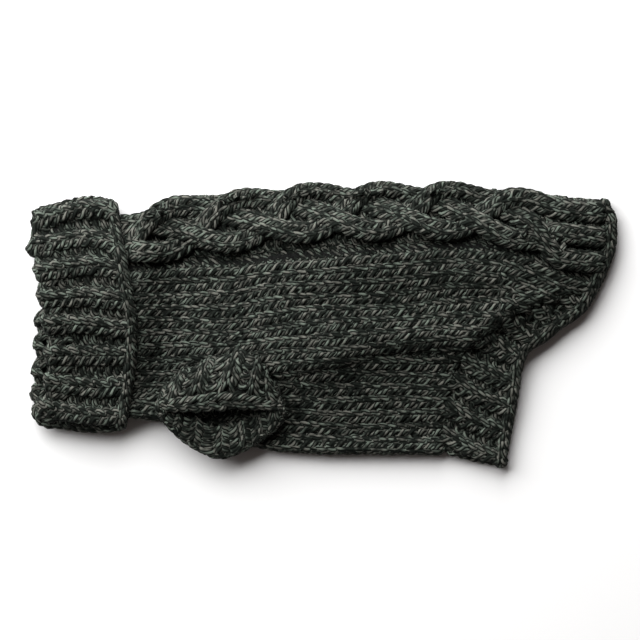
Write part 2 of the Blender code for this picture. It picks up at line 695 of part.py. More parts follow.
def collar_profile(v):
    """The collar's wall at place v: out along the flap, round the fold and back inside."""
    fold_x, edge_x = collar_rim(v)
    centre_x = fold_x + COLLAR_HAIRPIN
    inner_end = NECK_X - SEAM_GAP
    points = []
    for share in (1.0, 0.93, 0.75, 0.5, 0.25, 0.0):
        x = centre_x + share * (edge_x - centre_x)
        depth = COLLAR_EDGE_ROUND if share == 1.0 else 0.0
        points.append(collar_section(x, v, depth, collar_rib(v, share)))
    for turn in (-45.0, 0.0, 45.0):
        angle = turn * pi / 180.0
        points.append(collar_section(centre_x - COLLAR_HAIRPIN * cos(angle), v,
                                     COLLAR_HAIRPIN * (1.0 + sin(angle)), 0.0))
    for share in (0.0, 0.5, 1.0):
        x = centre_x + share * (inner_end - centre_x)
        points.append(collar_section(x, v, 2.0 * COLLAR_HAIRPIN, 0.0))
    points.append(collar_section(inner_end, v, WALL + LAYER_GAP, 0.0))
    for share in (0.5, 0.0):
        x = centre_x + share * (inner_end - centre_x)
        points.append(collar_section(x, v, WALL + LAYER_GAP, 0.0))
    for share in (0.0, 0.5, 1.0):
        x = centre_x + share * (edge_x - centre_x)
        points.append(collar_section(x, v, WALL, 0.0))
    return points


def make_collar(collection, material):
    """The folded turtleneck collar."""
    near = 54
    far = 14
    fold = 4
    places = [k / near for k in range(near)]
    places += [1.0 + k / fold for k in range(fold)]
    places += [2.0 + k / far for k in range(far)]
    places += [3.0 + k / fold for k in range(fold)]
    loft = Loft()
    loft.grid([collar_profile(v) for v in places], closed_across=True, closed_along=True)
    return add_piece(collection, "collar", loft.points, loft.faces, material)


# ---------------------------------------------------------------- leg cuffs
def cuff_base(angle):
    """The ring where the near cuff stands on the edge of its opening."""
    c = cos(angle)
    s = sin(angle)
    power = CUFF_BASE["power"]
    reach = (abs(c) ** power + abs(s) ** power) ** (-1.0 / power)
    x = CUFF_BASE["x"] + CUFF_BASE["half_length"] * reach * c
    y = CUFF_BASE["y"] + CUFF_BASE["half_height"] * reach * s
    return (x + CUFF_BASE["apex_shift"] * max(0.0, s) ** 3, y)


def cuff_lip(angle):
    """The cast-off edge round the near cuff's mouth."""
    c = cos(angle)
    s = sin(angle)
    left_x, left_y = CUFF_LIP["left"]
    right_x, right_y = CUFF_LIP["right"]
    middle_x = (left_x + right_x) / 2.0
    half = (right_x - left_x) / 2.0
    end_y = left_y + (right_y - left_y) * (0.5 + 0.5 * c)
    if s >= 0.0:
        return (middle_x + half * c, end_y - (end_y - CUFF_LIP["upper_y"]) * s)
    power = CUFF_LIP["lower_power"]
    reach = (abs(c) ** power + abs(s) ** power) ** (-1.0 / power)
    return (middle_x + half * c * reach, end_y + (end_y - CUFF_LIP["lower_y"]) * s * reach)


def cuff_outer(angle, t):
    """A point of the near cuff's outer face; t is 0 at the panel and 1 at the lip."""
    base_x, base_y = cuff_base(angle)
    lip_x, lip_y = cuff_lip(angle)
    s = sin(angle)
    rise = CUFF_SIDE_RISE + (CUFF_RISE - CUFF_SIDE_RISE) * max(0.0, s) ** CUFF_RISE_POWER
    rise *= smooth(1.0 + s) if s < 0.0 else 1.0
    lean = t ** (1.0 + CUFF_LEAN * max(0.0, s))
    x = base_x + lean * (lip_x - base_x)
    y = base_y + lean * (lip_y - base_y)
    lift = sin(t * pi / 2.0) ** CUFF_SWELL if t > 0.0 else 0.0
    floor = near_top(x, y) + CUFF_CLEAR
    return (x, y, floor + rise * lift)


def cuff_grids(steps_round, steps_up):
    """Outer and inner grids of the near cuff, the inner one a wall's thickness inside."""
    outer = []
    inner = []
    small = 0.02
    for k in range(steps_up + 1):
        t = k / steps_up
        outer_row = []
        inner_row = []
        for c in range(steps_round):
            angle = 2.0 * pi * c / steps_round
            point = np.array(cuff_outer(angle, t))
            round_step = (np.array(cuff_outer(angle + small, t))
                          - np.array(cuff_outer(angle - small, t)))
            up_step = (np.array(cuff_outer(angle, min(1.0, t + small)))
                       - np.array(cuff_outer(angle, max(0.0, t - small))))
            normal = np.cross(round_step, up_step)
            normal /= np.linalg.norm(normal)
            rib = CUFF_RIB_HEIGHT * (0.5 + 0.5 * sin(CUFF_RIBS * angle))
            rib *= smooth(t / CUFF_RIB_EASE) * max(0.0, sin(angle)) ** 0.5
            outer_row.append(tuple(point + rib * normal))
            inner_row.append(tuple(point - CUFF_WALL * normal))
        outer.append(outer_row)
        inner.append(inner_row)
    return outer, inner


def make_left_cuff(collection, material):
    """The near leg cuff: a short ribbed tube that leans over with its mouth open."""
    outer, inner = cuff_grids(4 * CUFF_RIBS, 5)
    loft = Loft()
    loft.grid(outer + inner[::-1], closed_across=True, closed_along=True)
    return add_piece(collection, "left_leg_cuff", loft.points, loft.faces, material)


def eye_outline(inset, steps):
    """Outline of the leg opening, drawn in by inset; pointed at its two ends."""
    length = LEG_OPENING["half_length"] - 2.0 * inset
    height = LEG_OPENING["half_height"] - inset
    outline = []
    for k in range(2 * steps):
        angle = pi * k / steps
        share = cos(angle)
        x = LEG_OPENING["x"] + length * share
        reach = height * max(0.0, 1.0 - share * share) ** LEG_OPENING["power"]
        reach = max(reach, FLAT_CUFF["corner_reach"])
        side = 1.0 if sin(angle) >= 0.0 else -1.0
        outline.append((x, along(SIDE_SEAM, x) + side * reach))
    return outline


def make_right_cuff(collection, material):
    """The far leg cuff, pressed flat in its opening under the sweater's weight."""
    curve = bpy.data.curves.new("right_leg_cuff_outline", "CURVE")
    curve.dimensions = "2D"
    curve.fill_mode = "BOTH"
    curve.extrude = WALL / 2.0 * MM
    steps = 14
    middle_y = along(SIDE_SEAM, LEG_OPENING["x"])
    mouth = [(LEG_OPENING["x"] + FLAT_CUFF["mouth_half_length"] * cos(pi * k / steps),
              middle_y + FLAT_CUFF["mouth_half_height"] * sin(pi * k / steps))
             for k in range(2 * steps)]
    for outline in (eye_outline(FLAT_CUFF["inset"], steps), mouth):
        spline = curve.splines.new("POLY")
        spline.points.add(len(outline) - 1)
        spline.use_cyclic_u = True
        for point, (x, y) in zip(spline.points, outline):
            point.co = ((x - MIDDLE_X) * MM, (y - MIDDLE_Y) * MM, 0.0, 1.0)
    outline_object = bpy.data.objects.new("right_leg_cuff_outline", curve)
    collection.objects.link(outline_object)
    outline_object.location.z = WALL / 2.0 * MM
    bpy.context.view_layer.update()
    graph = bpy.context.evaluated_depsgraph_get()
    mesh = bpy.data.meshes.new_from_object(outline_object.evaluated_get(graph))
    work = bmesh.new()
    work.from_mesh(mesh)
    bmesh.ops.remove_doubles(work, verts=work.verts[:], dist=0.00001)
    bmesh.ops.recalc_face_normals(work, faces=work.faces[:])
    work.to_mesh(mesh)
    work.free()
    mesh.name = "right_leg_cuff"
    mesh.materials.clear()
    mesh.materials.append(material)
    piece = bpy.data.objects.new("right_leg_cuff", mesh)
    collection.objects.link(piece)
    piece.matrix_world = outline_object.matrix_world
    bpy.data.objects.remove(outline_object)
    return piece


# ---------------------------------------------------------------- the whole sweater
def main():
    """Build every piece of the sweater."""
    for old in list(bpy.data.objects):
        bpy.data.objects.remove(old)
    collection = bpy.data.collections.new("dog_sweater")
    bpy.context.scene.collection.children.link(collection)
    body_wool = charcoal_knit("charcoal_stocking_stitch", CHARCOAL)
    rib_wool = charcoal_knit("charcoal_rib", CHARCOAL_COLLAR)
    make_panel(collection, "back", back_columns, 1.0, 48, body_wool)
    make_panel(collection, "belly", belly_columns, -1.0, 40, body_wool)
    make_collar(collection, rib_wool)
    make_band(collection, "back_rib", 0.0, BACK_AT_TAIL, False, rib_wool)
    make_band(collection, "belly_rib", BELLY_AT_TAIL, 1.0, True, rib_wool)
    make_left_cuff(collection, rib_wool)
    make_right_cuff(collection, rib_wool)


main()
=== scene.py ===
"""Looks of a hand-knitted dog sweater that lies flat on its side.

Every piece of the sweater is knitted here with real loops of plied yarn, course by
course, over the form of its solid.  A thin cloth lies under the loops of each piece, its
colour near black as painted shade between the loops.

Sizes are in millimetres and are turned into metres when a mesh is made.  The cuts of the
cloth and the studio are in metres.  +X runs from the neck to the tail, +Y from the belly to
the spine, +Z up off the table.
"""

import logging
from dataclasses import dataclass, field
from enum import Enum
from typing import Any, Callable, Optional, Sequence, Union

import bpy
import numpy as np
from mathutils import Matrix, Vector

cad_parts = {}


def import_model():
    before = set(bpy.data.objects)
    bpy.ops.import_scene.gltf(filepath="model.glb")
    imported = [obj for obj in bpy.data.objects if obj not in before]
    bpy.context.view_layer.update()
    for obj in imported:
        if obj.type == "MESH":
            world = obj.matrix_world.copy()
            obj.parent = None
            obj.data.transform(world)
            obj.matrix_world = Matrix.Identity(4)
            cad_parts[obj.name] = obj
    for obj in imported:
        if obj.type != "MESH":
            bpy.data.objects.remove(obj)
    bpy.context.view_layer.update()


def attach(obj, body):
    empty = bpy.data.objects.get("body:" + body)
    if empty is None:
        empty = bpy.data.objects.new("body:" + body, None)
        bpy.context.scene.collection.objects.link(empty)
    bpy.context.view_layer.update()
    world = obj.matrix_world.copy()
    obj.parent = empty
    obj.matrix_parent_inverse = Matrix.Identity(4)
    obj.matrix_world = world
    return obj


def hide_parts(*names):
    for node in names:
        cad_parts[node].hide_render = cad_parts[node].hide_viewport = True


LOG = logging.getLogger("dog_sweater")
BODY = "root"
YARN_MAP = "yarn"
PI = np.pi
TURN = 2.0 * PI
MM = 0.001                         # metres in a millimetre
FAR = 999.0                        # further than any place on the sweater
MIDDLE = (-0.10, -0.24)            # middle of the sweater's outline, set over the origin
PRESSED = 0.4                      # how softly the yarn flattens on the table
PROBE = 0.3                        # step over which the slope of a surface is measured
CLOTH_DEPTH = 3.8                  # how deep the cloth lies under the face of its solid
SUNK = 1.8                         # how deep the two ends of a course are drawn in

Array = np.ndarray
Colour = tuple[float, float, float, float]
Surface = Callable[[Array, Array], Array]
Places = Callable[[Array, Array], Array]
Limits = Callable[[Array], tuple[Array, Array]]
Wales = Callable[[float], tuple[int, int]]


# ---------------------------------------------------------------- numbers and curves
def ease(value: Array) -> Array:
    """Ease from 0 to 1 as value goes from 0 to 1."""
    value = np.clip(value, 0.0, 1.0)
    return value * value * (3.0 - 2.0 * value)


def unit(vectors: Array) -> Array:
    """Scale vectors to length 1."""
    return vectors / np.maximum(np.linalg.norm(vectors, axis=-1, keepdims=True), 1e-9)


class Curve:
    """A smooth curve through the rows of a short table, which never overshoots them."""

    def __init__(self, rows: Sequence[Sequence[float]], column: int = 1) -> None:
        """Take one column of the table over its first.

        Args:
            rows: The table, with its first column rising.
            column: The column to read.
        """
        self.xs = np.array([row[0] for row in rows], float)
        self.ys = np.array([row[column] for row in rows], float)
        steps = np.diff(self.ys) / np.diff(self.xs)
        self.slopes = np.zeros(len(self.xs))
        self.slopes[0] = steps[0]
        self.slopes[-1] = steps[-1]
        before, after = steps[:-1], steps[1:]
        together = before * after > 0.0
        total = np.where(together, before + after, 1.0)
        self.slopes[1:-1] = np.where(together, 2.0 * before * after / total, 0.0)

    def __call__(self, x: Array) -> Array:
        """Read the curve; beyond its ends it stays level.

        Args:
            x: Where to read it.

        Returns:
            Its value at each x.
        """
        x = np.clip(x, self.xs[0], self.xs[-1])
        k = np.clip(np.searchsorted(self.xs, x, side="right") - 1, 0, len(self.xs) - 2)
        span = self.xs[k + 1] - self.xs[k]
        t = (x - self.xs[k]) / span
        start = (1.0 + 2.0 * t) * (1.0 - t) ** 2 * self.ys[k]
        start = start + t * (1.0 - t) ** 2 * span * self.slopes[k]
        end = t * t * (3.0 - 2.0 * t) * self.ys[k + 1]
        return start + end - t * t * (1.0 - t) * span * self.slopes[k + 1]


# ---------------------------------------------------------------- the sweater's form
SPINE_EDGE = Curve([  # (x, y)
    (-118.0, 61.0), (-109.0, 61.0), (-101.0, 62.5), (-93.0, 66.5), (-79.0, 71.0),
    (-40.5, 74.0), (-13.0, 75.5), (42.0, 76.2), (88.0, 75.8), (124.5, 73.0),
    (141.0, 71.0), (160.0, 69.5)])
BELLY_EDGE = Curve([  # (x, y)
    (-118.0, -51.0), (-101.0, -52.5), (-90.0, -54.0), (-68.0, -60.5), (-46.0, -66.0),
    (-24.0, -70.5), (9.0, -72.0), (42.0, -72.0), (66.0, -72.5), (160.0, -72.5)])
CABLE_CENTRE = Curve([  # (x, y)
    (-118.0, 46.0), (-95.5, 51.0), (-68.0, 55.0), (-40.5, 58.5), (-13.0, 62.5),
    (17.0, 63.5), (60.0, 64.0), (82.0, 62.5), (97.0, 60.5), (110.0, 58.0), (132.0, 53.0),
    (152.0, 51.0)])
GUTTER = Curve([  # (x, y) of the upper edge of the stocking stitch, under the plait
    (-118.0, 32.0), (-96.0, 33.0), (-52.0, 33.6), (-36.0, 36.0), (-18.0, 38.1),
    (43.0, 41.2), (70.0, 44.0), (97.0, 43.4), (110.0, 40.0), (119.0, 35.5),
    (132.0, 29.5), (154.0, 21.0)])
TAIL_END = [  # (x_body, y_body, x_edge, y_edge), from the spine to the belly
    (154.0, 65.0, 158.0, 65.0), (154.0, 57.0, 161.4, 58.0), (154.0, 46.0, 161.2, 47.0),
    (153.5, 34.5, 158.0, 34.5), (152.0, 28.0, 154.8, 26.5), (146.5, 20.5, 150.5, 17.5),
    (134.0, 14.0, 143.0, 6.5), (120.0, 8.0, 131.5, -1.5), (104.5, 1.5, 123.0, -8.5),
    (90.0, -6.5, 113.5, -14.5), (79.0, -16.0, 109.5, -23.5), (71.5, -29.0, 107.5, -37.0),
    (67.5, -44.0, 105.0, -51.0), (66.0, -58.0, 102.5, -64.0), (65.5, -67.5, 100.5, -74.8)]
CORNER_X = 79.0                    # where the side seam meets the hem
HEM_SEAM = 97.0                    # way along the cast-off edge to where its bands meet
SLANT_TOP_Y = 46.0                 # above this the tail end runs straight up to the spine
SEAM_ROWS = [  # (x, y) of the side seam
    (-118.0, -37.0), (-88.0, -37.0), (-56.5, -34.5), (-21.5, -30.5), (14.5, -23.0),
    (42.0, -17.0)]
SLANT_ROWS = [(x, y) for x, y, *_ in reversed(TAIL_END) if x >= CORNER_X and y <= SLANT_TOP_Y]
SIDE_SEAM = Curve(SEAM_ROWS + [(80.0, -15.5)])
SLANTED_END = Curve(SLANT_ROWS)
BACK_END = Curve(SEAM_ROWS + SLANT_ROWS)
BELLY_END = Curve([  # (y, x)
    (-66.0, 65.5), (-58.0, 66.0), (-44.0, 67.5), (-29.0, 71.5), (-16.0, 79.0)])
NECK_ACROSS = Curve([  # (share of the way from spine to belly, share) of the full neck
    (0.0, 0.2), (0.08, 0.6), (0.2, 0.94), (0.34, 1.0), (0.5, 0.84), (0.66, 0.44),
    (0.82, 0.14), (1.0, 0.0)])
FULL_ALONG = Curve([  # (x, share) of how full the body lies
    (-100.0, 0.25), (-75.0, 0.45), (-45.0, 0.78), (-15.0, 1.0), (30.0, 0.9), (80.0, 0.5),
    (120.0, 0.2), (154.0, 0.05)])
FULL_ACROSS = Curve([  # (share of the way from spine to belly, share)
    (0.0, 0.25), (0.08, 0.62), (0.2, 1.0), (0.36, 0.92), (0.5, 0.82), (0.64, 0.74),
    (0.76, 0.52), (0.88, 0.2), (0.95, 0.02), (0.985, 0.08), (1.0, 0.1)])
STEP_ALONG = Curve([  # (x, share) of the back's step down to the belly and the hem
    (-70.0, 0.0), (-25.0, 0.45), (5.0, 1.0), (90.0, 1.0), (120.0, 0.8), (142.0, 0.3),
    (154.0, 0.0)])
CREASES = [  # (x0, y0, x1, y1, half width, depth)
    (-5.0, 12.0, 84.0, 12.0, 18.0, 1.8),
    (-98.0, 20.0, -58.0, 24.0, 7.0, 0.7),
    (84.0, 14.0, 118.0, 22.0, 8.0, 0.9),
    (-102.0, -44.0, -92.0, -18.0, 9.0, 1.6),
    (-20.0, -16.0, -14.0, -50.0, 9.0, 1.4)]
COLLAR_TOP = Curve([  # (x, y)
    (-163.0, 58.0), (-160.5, 62.0), (-157.0, 65.5), (-150.0, 67.5), (-143.5, 69.5),
    (-130.5, 72.0), (-120.0, 71.0), (-114.0, 68.0), (-104.0, 65.0)])
COLLAR_BOTTOM = Curve([  # (x, y)
    (-163.0, -47.0), (-161.5, -50.0), (-158.5, -53.0), (-150.5, -56.5), (-143.5, -58.0),
    (-130.5, -59.5), (-122.5, -60.0), (-114.5, -59.0), (-104.0, -56.0)])
COLLAR_RIM = [  # (share of the way down, x of the near fold, of the far fold, of the edge)
    (0.00, -160.0, -160.0, -113.5), (0.05, -163.0, -163.0, -112.5),
    (0.14, -161.5, -161.0, -110.5), (0.25, -158.5, -159.0, -108.5),
    (0.44, -156.0, -157.5, -105.0), (0.53, -154.5, -159.5, -103.5),
    (0.66, -153.0, -160.0, -104.0), (0.78, -153.0, -160.5, -105.0),
    (0.88, -154.0, -161.5, -106.5), (1.00, -158.5, -161.5, -109.0)]


class Fold(Enum):
    """One of the two long folds of the flattened body."""

    SPINE = "spine"
    BELLY = "belly"


def share_of(v: Array) -> Array:
    """Share q of the way from the spine fold to the belly fold, at place v round a tube."""
    return np.select([v <= 1.0, v < 2.0, v <= 3.0], [v, np.ones_like(v), 3.0 - v], 0.0 * v)


def round_tube(x: Array, y: Array, low: Array, high: Array, spine_reach: Array,
               belly_reach: Array, v: Array) -> Array:
    """Points of a flattened tube.

    Args:
        x: X of the panel at share_of(v).
        y: Y of the panel at share_of(v).
        low: Height of the far panel's outer face.
        high: Height of the near panel's outer face.
        spine_reach: How far the spine fold rounds out.
        belly_reach: How far the belly fold rounds out.
        v: Place round the tube: near panel 0 to 1, belly fold 1 to 2, far panel 2 to 3,
            spine fold 3 to 4.

    Returns:
        The points, one for each x.
    """
    at_belly = (v > 1.0) & (v < 2.0)
    at_spine = v > 3.0
    turn = np.where(at_belly, PI * (v - 1.0), np.where(at_spine, PI * (4.0 - v), 0.0))
    turn = np.where((v >= 2.0) & (v <= 3.0), PI, turn)
    side = np.where(at_spine, spine_reach, np.where(at_belly, -belly_reach, 0.0))
    z = (low + high) / 2.0 + (high - low) / 2.0 * np.cos(turn)
    return np.stack([x, y + side * np.sin(turn), z], axis=-1)


def normals_of(surface: Surface, a: Array, b: Array) -> Array:
    """Outward normals of a surface.

    Args:
        surface: The surface.
        a: First place of each point.
        b: Second place of each point.

    Returns:
        The normals.
    """
    across = surface(a + PROBE, b) - surface(a - PROBE, b)
    along = surface(a, b + PROBE) - surface(a, b - PROBE)
    return unit(np.cross(across, along))


@dataclass(frozen=True)
class BodyForm:
    """Form of the body: a tube flattened to two panels that lie on each other."""

    wall: float = 4.2
    layer_gap: float = 0.4
    panel_gap: float = 0.8
    neck_x: float = -118.0
    tail_x: float = 154.0
    lift_to_x: float = -103.0
    lift_ease: float = 18.0
    fold_reach: float = 5.0
    full: float = 12.0
    neck_full: float = 8.5
    neck_full_to_x: float = -103.0
    neck_ease: float = 28.0
    step: float = 8.0
    step_before: float = 9.0
    step_ease: float = 20.0
    step_at_spine: float = 0.35
    step_grows_to: float = 0.16
    cable_lane: float = 12.0
    cable_ends: tuple[float, float, float] = (-2.8, 10.5, -16.5)
    cable_parts: float = 18.0
    cable_repeat: float = 115.2
    cable_shear: float = 0.55
    cable_first_hump: float = -79.0
    cable_straight_x: float = 112.0
    cable_from_x: float = -108.0
    cable_ease: float = 14.0
    hump: float = 0.6
    opening_x: float = -56.5
    opening_half_length: float = 28.0
    opening_half_height: float = 17.5
    opening_power: float = 0.75
    seam_gap: float = 0.3

    def lift(self, x: Array) -> Array:
        """Height of the far panel off the table."""
        return (self.wall + self.layer_gap) * (1.0 - ease((x - self.lift_to_x) / self.lift_ease))

    def top(self, x: Array) -> Array:
        """Y where the near panel goes over into the spine fold."""
        return SPINE_EDGE(x) - self.fold_reach

    def bottom(self, x: Array) -> Array:
        """Y where the near panel goes over into the belly fold."""
        return BELLY_EDGE(x) + self.fold_reach

    def share(self, x: Array, y: Array) -> Array:
        """Share of the way from the spine fold to the belly fold."""
        top = self.top(x)
        return np.clip((top - y) / (top - self.bottom(x)), 0.0, 1.0)

    def fullness(self, x: Array, y: Array) -> Array:
        """How much higher the near side lies than flat cloth would, but for its step.

        Args:
            x: X on the near side.
            y: Y on the near side.

        Returns:
            The height at each place.
        """
        q = self.share(x, y)
        neck = 1.0 - ease((x - self.neck_full_to_x) / self.neck_ease)
        body = self.full * FULL_ALONG(x) * FULL_ACROSS(q)
        return body + neck * (self.neck_full * NECK_ACROSS(q) - body)

    def step_height(self, x: Array, y: Array) -> Array:
        """How much higher the back lies than the belly and the hem beside it.

        Args:
            x: X on the near side.
            y: Y on the near side.

        Returns:
            The height at each place.
        """
        step = self.step * STEP_ALONG(x) * ease((y - BACK_END(x) + self.step_before) / self.step_ease)
        grown = ease(self.share(x, y) / self.step_grows_to)
        return step * (self.step_at_spine + (1.0 - self.step_at_spine) * grown)

    def crease_depth(self, x: Array, y: Array) -> Array:
        """How deep the creases lie.

        Args:
            x: X on the near side.
            y: Y on the near side.

        Returns:
            The depth at each place.
        """
        depth = 0.0 * x
        for x0, y0, x1, y1, half_width, deepest in CREASES:
            run = np.array([x1 - x0, y1 - y0])
            share = np.clip(((x - x0) * run[0] + (y - y0) * run[1]) / (run @ run), 0.0, 1.0)
            aside = np.hypot(x - x0 - share * run[0], y - y0 - share * run[1])
            depth = depth + deepest * ease(1.0 - aside / half_width)
        return depth

    def high(self, x: Array, y: Array) -> Array:
        """Height of the near panel's outer face, without the plait.

        Args:
            x: X on the near side.
            y: Y on the near side.

        Returns:
            The height at each place.
        """
        full = self.fullness(x, y) + self.step_height(x, y)
        gap = self.panel_gap + np.maximum(full - self.crease_depth(x, y), 0.0)
        return self.lift(x) + 2.0 * self.wall + gap

    def swing(self, x: Array, strand: int) -> Array:
        """Where a strand of the plait is in its swing.

        Args:
            x: Where along the plait.
            strand: Which strand, from 0 to 2.

        Returns:
            The angle of its swing at each x.
        """
        held = np.minimum(x, self.cable_straight_x)
        even = TURN * ((held - self.cable_first_hump) / self.cable_repeat + strand / 3.0)
        return even - self.cable_shear * (0.5 - 0.5 * np.cos(even))

    def lane(self, x: Array, strand: int) -> Array:
        """Y of the middle of a strand of the plait, which ends as three straight lanes.

        Args:
            x: Where along the plait.
            strand: Which strand, from 0 to 2.

        Returns:
            Y at each x.
        """
        straight = ease((x - self.cable_straight_x) / self.cable_parts)
        swung = self.cable_lane * np.cos(self.swing(x, strand))
        return CABLE_CENTRE(x) + swung + straight * (self.cable_ends[strand] - swung)

    def spine_reach(self, x: Array) -> Array:
        """How far the spine fold rounds out, with three humps to a repeat of the plait.

        Args:
            x: Where along the spine.

        Returns:
            The reach at each x.
        """
        eased = (ease((x - self.cable_from_x) / self.cable_ease)
                 * ease((self.cable_straight_x + self.cable_ease - x) / self.cable_ease))
        turn = 3.0 * TURN * (x - self.cable_first_hump) / self.cable_repeat
        return self.fold_reach + eased * (self.hump + self.hump * np.cos(turn))

    def arc(self, x: Array, fold: Fold) -> Array:
        """Length of cloth round a fold.

        Args:
            x: Where along the fold.
            fold: Which fold.

        Returns:
            The length at each x.
        """
        at_spine = fold is Fold.SPINE
        y = self.top(x) if at_spine else self.bottom(x)
        half = (self.high(x, y) - self.lift(x)) / 2.0
        reach = self.spine_reach(x) if at_spine else self.fold_reach
        return PI * np.sqrt((reach * reach + half * half) / 2.0)

    def point(self, x: Array, b: Array) -> Array:
        """Points of the body's outer face.

        Args:
            x: X of each point.
            b: Place round the tube in millimetres of cloth: Y on the near panel, counted
                on round either fold and over the far panel.

        Returns:
            The points.
        """
        top, bottom = self.top(x), self.bottom(x)
        depth = top - bottom
        spine, belly = self.arc(x, Fold.SPINE), self.arc(x, Fold.BELLY)
        over_spine, over_belly = b - top, bottom - b
        v = np.select(
            [over_spine > spine, over_spine > 0.0, over_belly > belly, over_belly > 0.0],
            [3.0 - (over_spine - spine) / depth, 4.0 - over_spine / spine,
             2.0 + (over_belly - belly) / depth, 1.0 + over_belly / belly],
            (top - b) / depth)
        y = top - share_of(v) * depth
        return round_tube(x, y, self.lift(x), self.high(x, y), self.spine_reach(x),
                          self.fold_reach + 0.0 * x, v)

    def opening(self, x: Array) -> Array:
        """Half the distance between back and belly: a seam, or the leg opening.

        Args:
            x: Where along the seam.

        Returns:
            Half the distance at each x.
        """
        share = (x - self.opening_x) / self.opening_half_length
        bow = np.maximum(0.0, 1.0 - share * share) ** self.opening_power
        return np.maximum(self.opening_half_height * bow, self.seam_gap / 2.0)


@dataclass(frozen=True)
class PlaitStrand:
    """Form of one strand of the plait: a ribbon that goes over and under the others."""

    body: BodyForm
    number: int
    height: float = 3.1
    crossing: float = 1.7
    half_width: float = 7.4
    bow_power: float = 0.6
    edge_depth: float = 1.2
    slope_step: float = 0.5

    def point(self, a: Array, o: Array) -> Array:
        """Points of the strand's face.

        Args:
            a: X along its middle.
            o: Distance from its middle.

        Returns:
            The points.
        """
        body = self.body
        lane = body.lane(a, self.number)
        slope = np.arctan((body.lane(a + self.slope_step, self.number) - lane) / self.slope_step)
        x = a - o * np.sin(slope)
        b = lane + o * np.cos(slope)
        grown = ease((x - body.cable_from_x) / body.cable_ease)
        crosses = 1.0 - ease((a - body.cable_straight_x) / body.cable_parts)
        height = self.height - self.crossing * crosses * np.sin(2.0 * body.swing(a, self.number))
        bow = np.maximum(0.0, 1.0 - (o / self.half_width) ** 2) ** self.bow_power
        lift = grown * (height * bow - self.edge_depth * (1.0 - bow))
        return body.point(x, b) + normals_of(body.point, x, b) * lift[..., None]


@dataclass
class HemForm:
    """Form of the ribbing that goes on from the slanted tail end of the body."""

    body: BodyForm
    arc: float = 18.0

    def __post_init__(self) -> None:
        """Measure the cast-off edge, and lay the columns of its table along it."""
        columns = np.array(TAIL_END).T
        steps = np.hypot(np.diff(columns[2]), np.diff(columns[3]))
        lengths = np.concatenate([[0.0], np.cumsum(steps)])
        self.length = float(lengths[-1])
        self.start_x, self.start_y, self.end_x, self.end_y = (
            Curve(list(zip(lengths, column))) for column in columns)

    def width(self, e: Array) -> Array:
        """Width of the ribbing at length e along the cast-off edge."""
        return np.hypot(self.end_x(e) - self.start_x(e), self.end_y(e) - self.start_y(e))

    def place(self, b: Array) -> Array:
        """Place v round the flattened tube.

        Args:
            b: Minus the length along the edge from the spine fold, counted on round
                either fold and over the far panel.

        Returns:
            The place at each b.
        """
        arc = self.arc
        over_belly, over_spine = -b - self.length, b
        return np.select(
            [over_belly > arc, over_belly > 0.0, over_spine > arc, over_spine > 0.0],
            [2.0 + (over_belly - arc) / self.length, 1.0 + over_belly / arc,
             3.0 - (over_spine - arc) / self.length, 4.0 - over_spine / arc],
            np.clip(-b / self.length, 0.0, 1.0))

    def width_at(self, b: Array) -> Array:
        """Width of the ribbing at b, which place() takes."""
        return self.width(share_of(self.place(b)) * self.length)

    def point(self, a: Array, b: Array) -> Array:
        """Points of the ribbing's outer face.

        Args:
            a: Distance from the cast-off edge, negative towards the body.
            b: How far round, as place() takes it.

        Returns:
            The points.
        """
        v = self.place(b)
        e = share_of(v) * self.length
        t = 1.0 + a / self.width(e)
        x = self.start_x(e) + t * (self.end_x(e) - self.start_x(e))
        y = self.start_y(e) + t * (self.end_y(e) - self.start_y(e))
        return round_tube(x, y, self.body.lift(x), self.body.high(x, y),
                          self.body.spine_reach(x), self.body.fold_reach + 0.0 * x, v)


@dataclass(frozen=True)
class CollarForm:
    """Form of the collar: a tube folded back over itself."""

    body: BodyForm
    near_length: float = 111.5
    arc_length: float = 25.8
    near_fold: Curve = Curve(COLLAR_RIM, 1)
    far_fold: Curve = Curve(COLLAR_RIM, 2)
    edge: Curve = Curve(COLLAR_RIM, 3)

    @property
    def thick(self) -> float:
        """Thickness of the collar's four layers as they lie."""
        return 4.0 * self.body.wall + 2.0 * self.body.layer_gap + self.body.panel_gap

    @property
    def hairpin(self) -> float:
        """Radius of the outer face where the collar folds back on itself."""
        return self.body.wall + self.body.layer_gap / 2.0

    @property
    def around(self) -> float:
        """Length of cloth round the collar."""
        return 2.0 * (self.near_length + self.arc_length)

    def place(self, b: Array) -> Array:
        """Place v round the collar.

        Args:
            b: Minus the way round from the spine end of the near side.

        Returns:
            The place at each b.
        """
        s = (-b) % self.around
        near, arc = self.near_length, self.arc_length
        return np.select(
            [s < near, s < near + arc, s < 2.0 * near + arc],
            [s / near, 1.0 + (s - near) / arc, 2.0 + (s - near - arc) / near],
            3.0 + (s - 2.0 * near - arc) / arc)

    def point(self, a: Array, b: Array) -> Array:
        """Points of the collar's outer face.

        Args:
            a: Minus the distance from the free edge: over the flap, round the fold and
                on to the inner layer.
            b: How far round, as place() takes it.

        Returns:
            The points.
        """
        v = self.place(b)
        q = share_of(v)
        near = np.select([v <= 1.0, v < 2.0, v <= 3.0], [1.0 + 0.0 * v, 2.0 - v, 0.0 * v],
                         v - 3.0)
        centre = near * self.near_fold(q) + (1.0 - near) * self.far_fold(q) + self.hairpin
        flap = self.edge(q) - centre
        turn = np.clip((-a - flap) / self.hairpin, 0.0, PI)
        inner = np.maximum(-a - flap - PI * self.hairpin, 0.0)
        x = np.where(-a < flap, self.edge(q) + a, centre - self.hairpin * np.sin(turn)) + inner
        radius = self.thick / 2.0
        half = radius - self.hairpin * (1.0 - np.cos(turn))
        top = COLLAR_TOP(x) - radius
        bottom = COLLAR_BOTTOM(x) + radius
        y = top - q * (top - bottom)
        high = radius + half + self.body.fullness(x, y)
        return round_tube(x, y, radius - half, high, half, half, v)


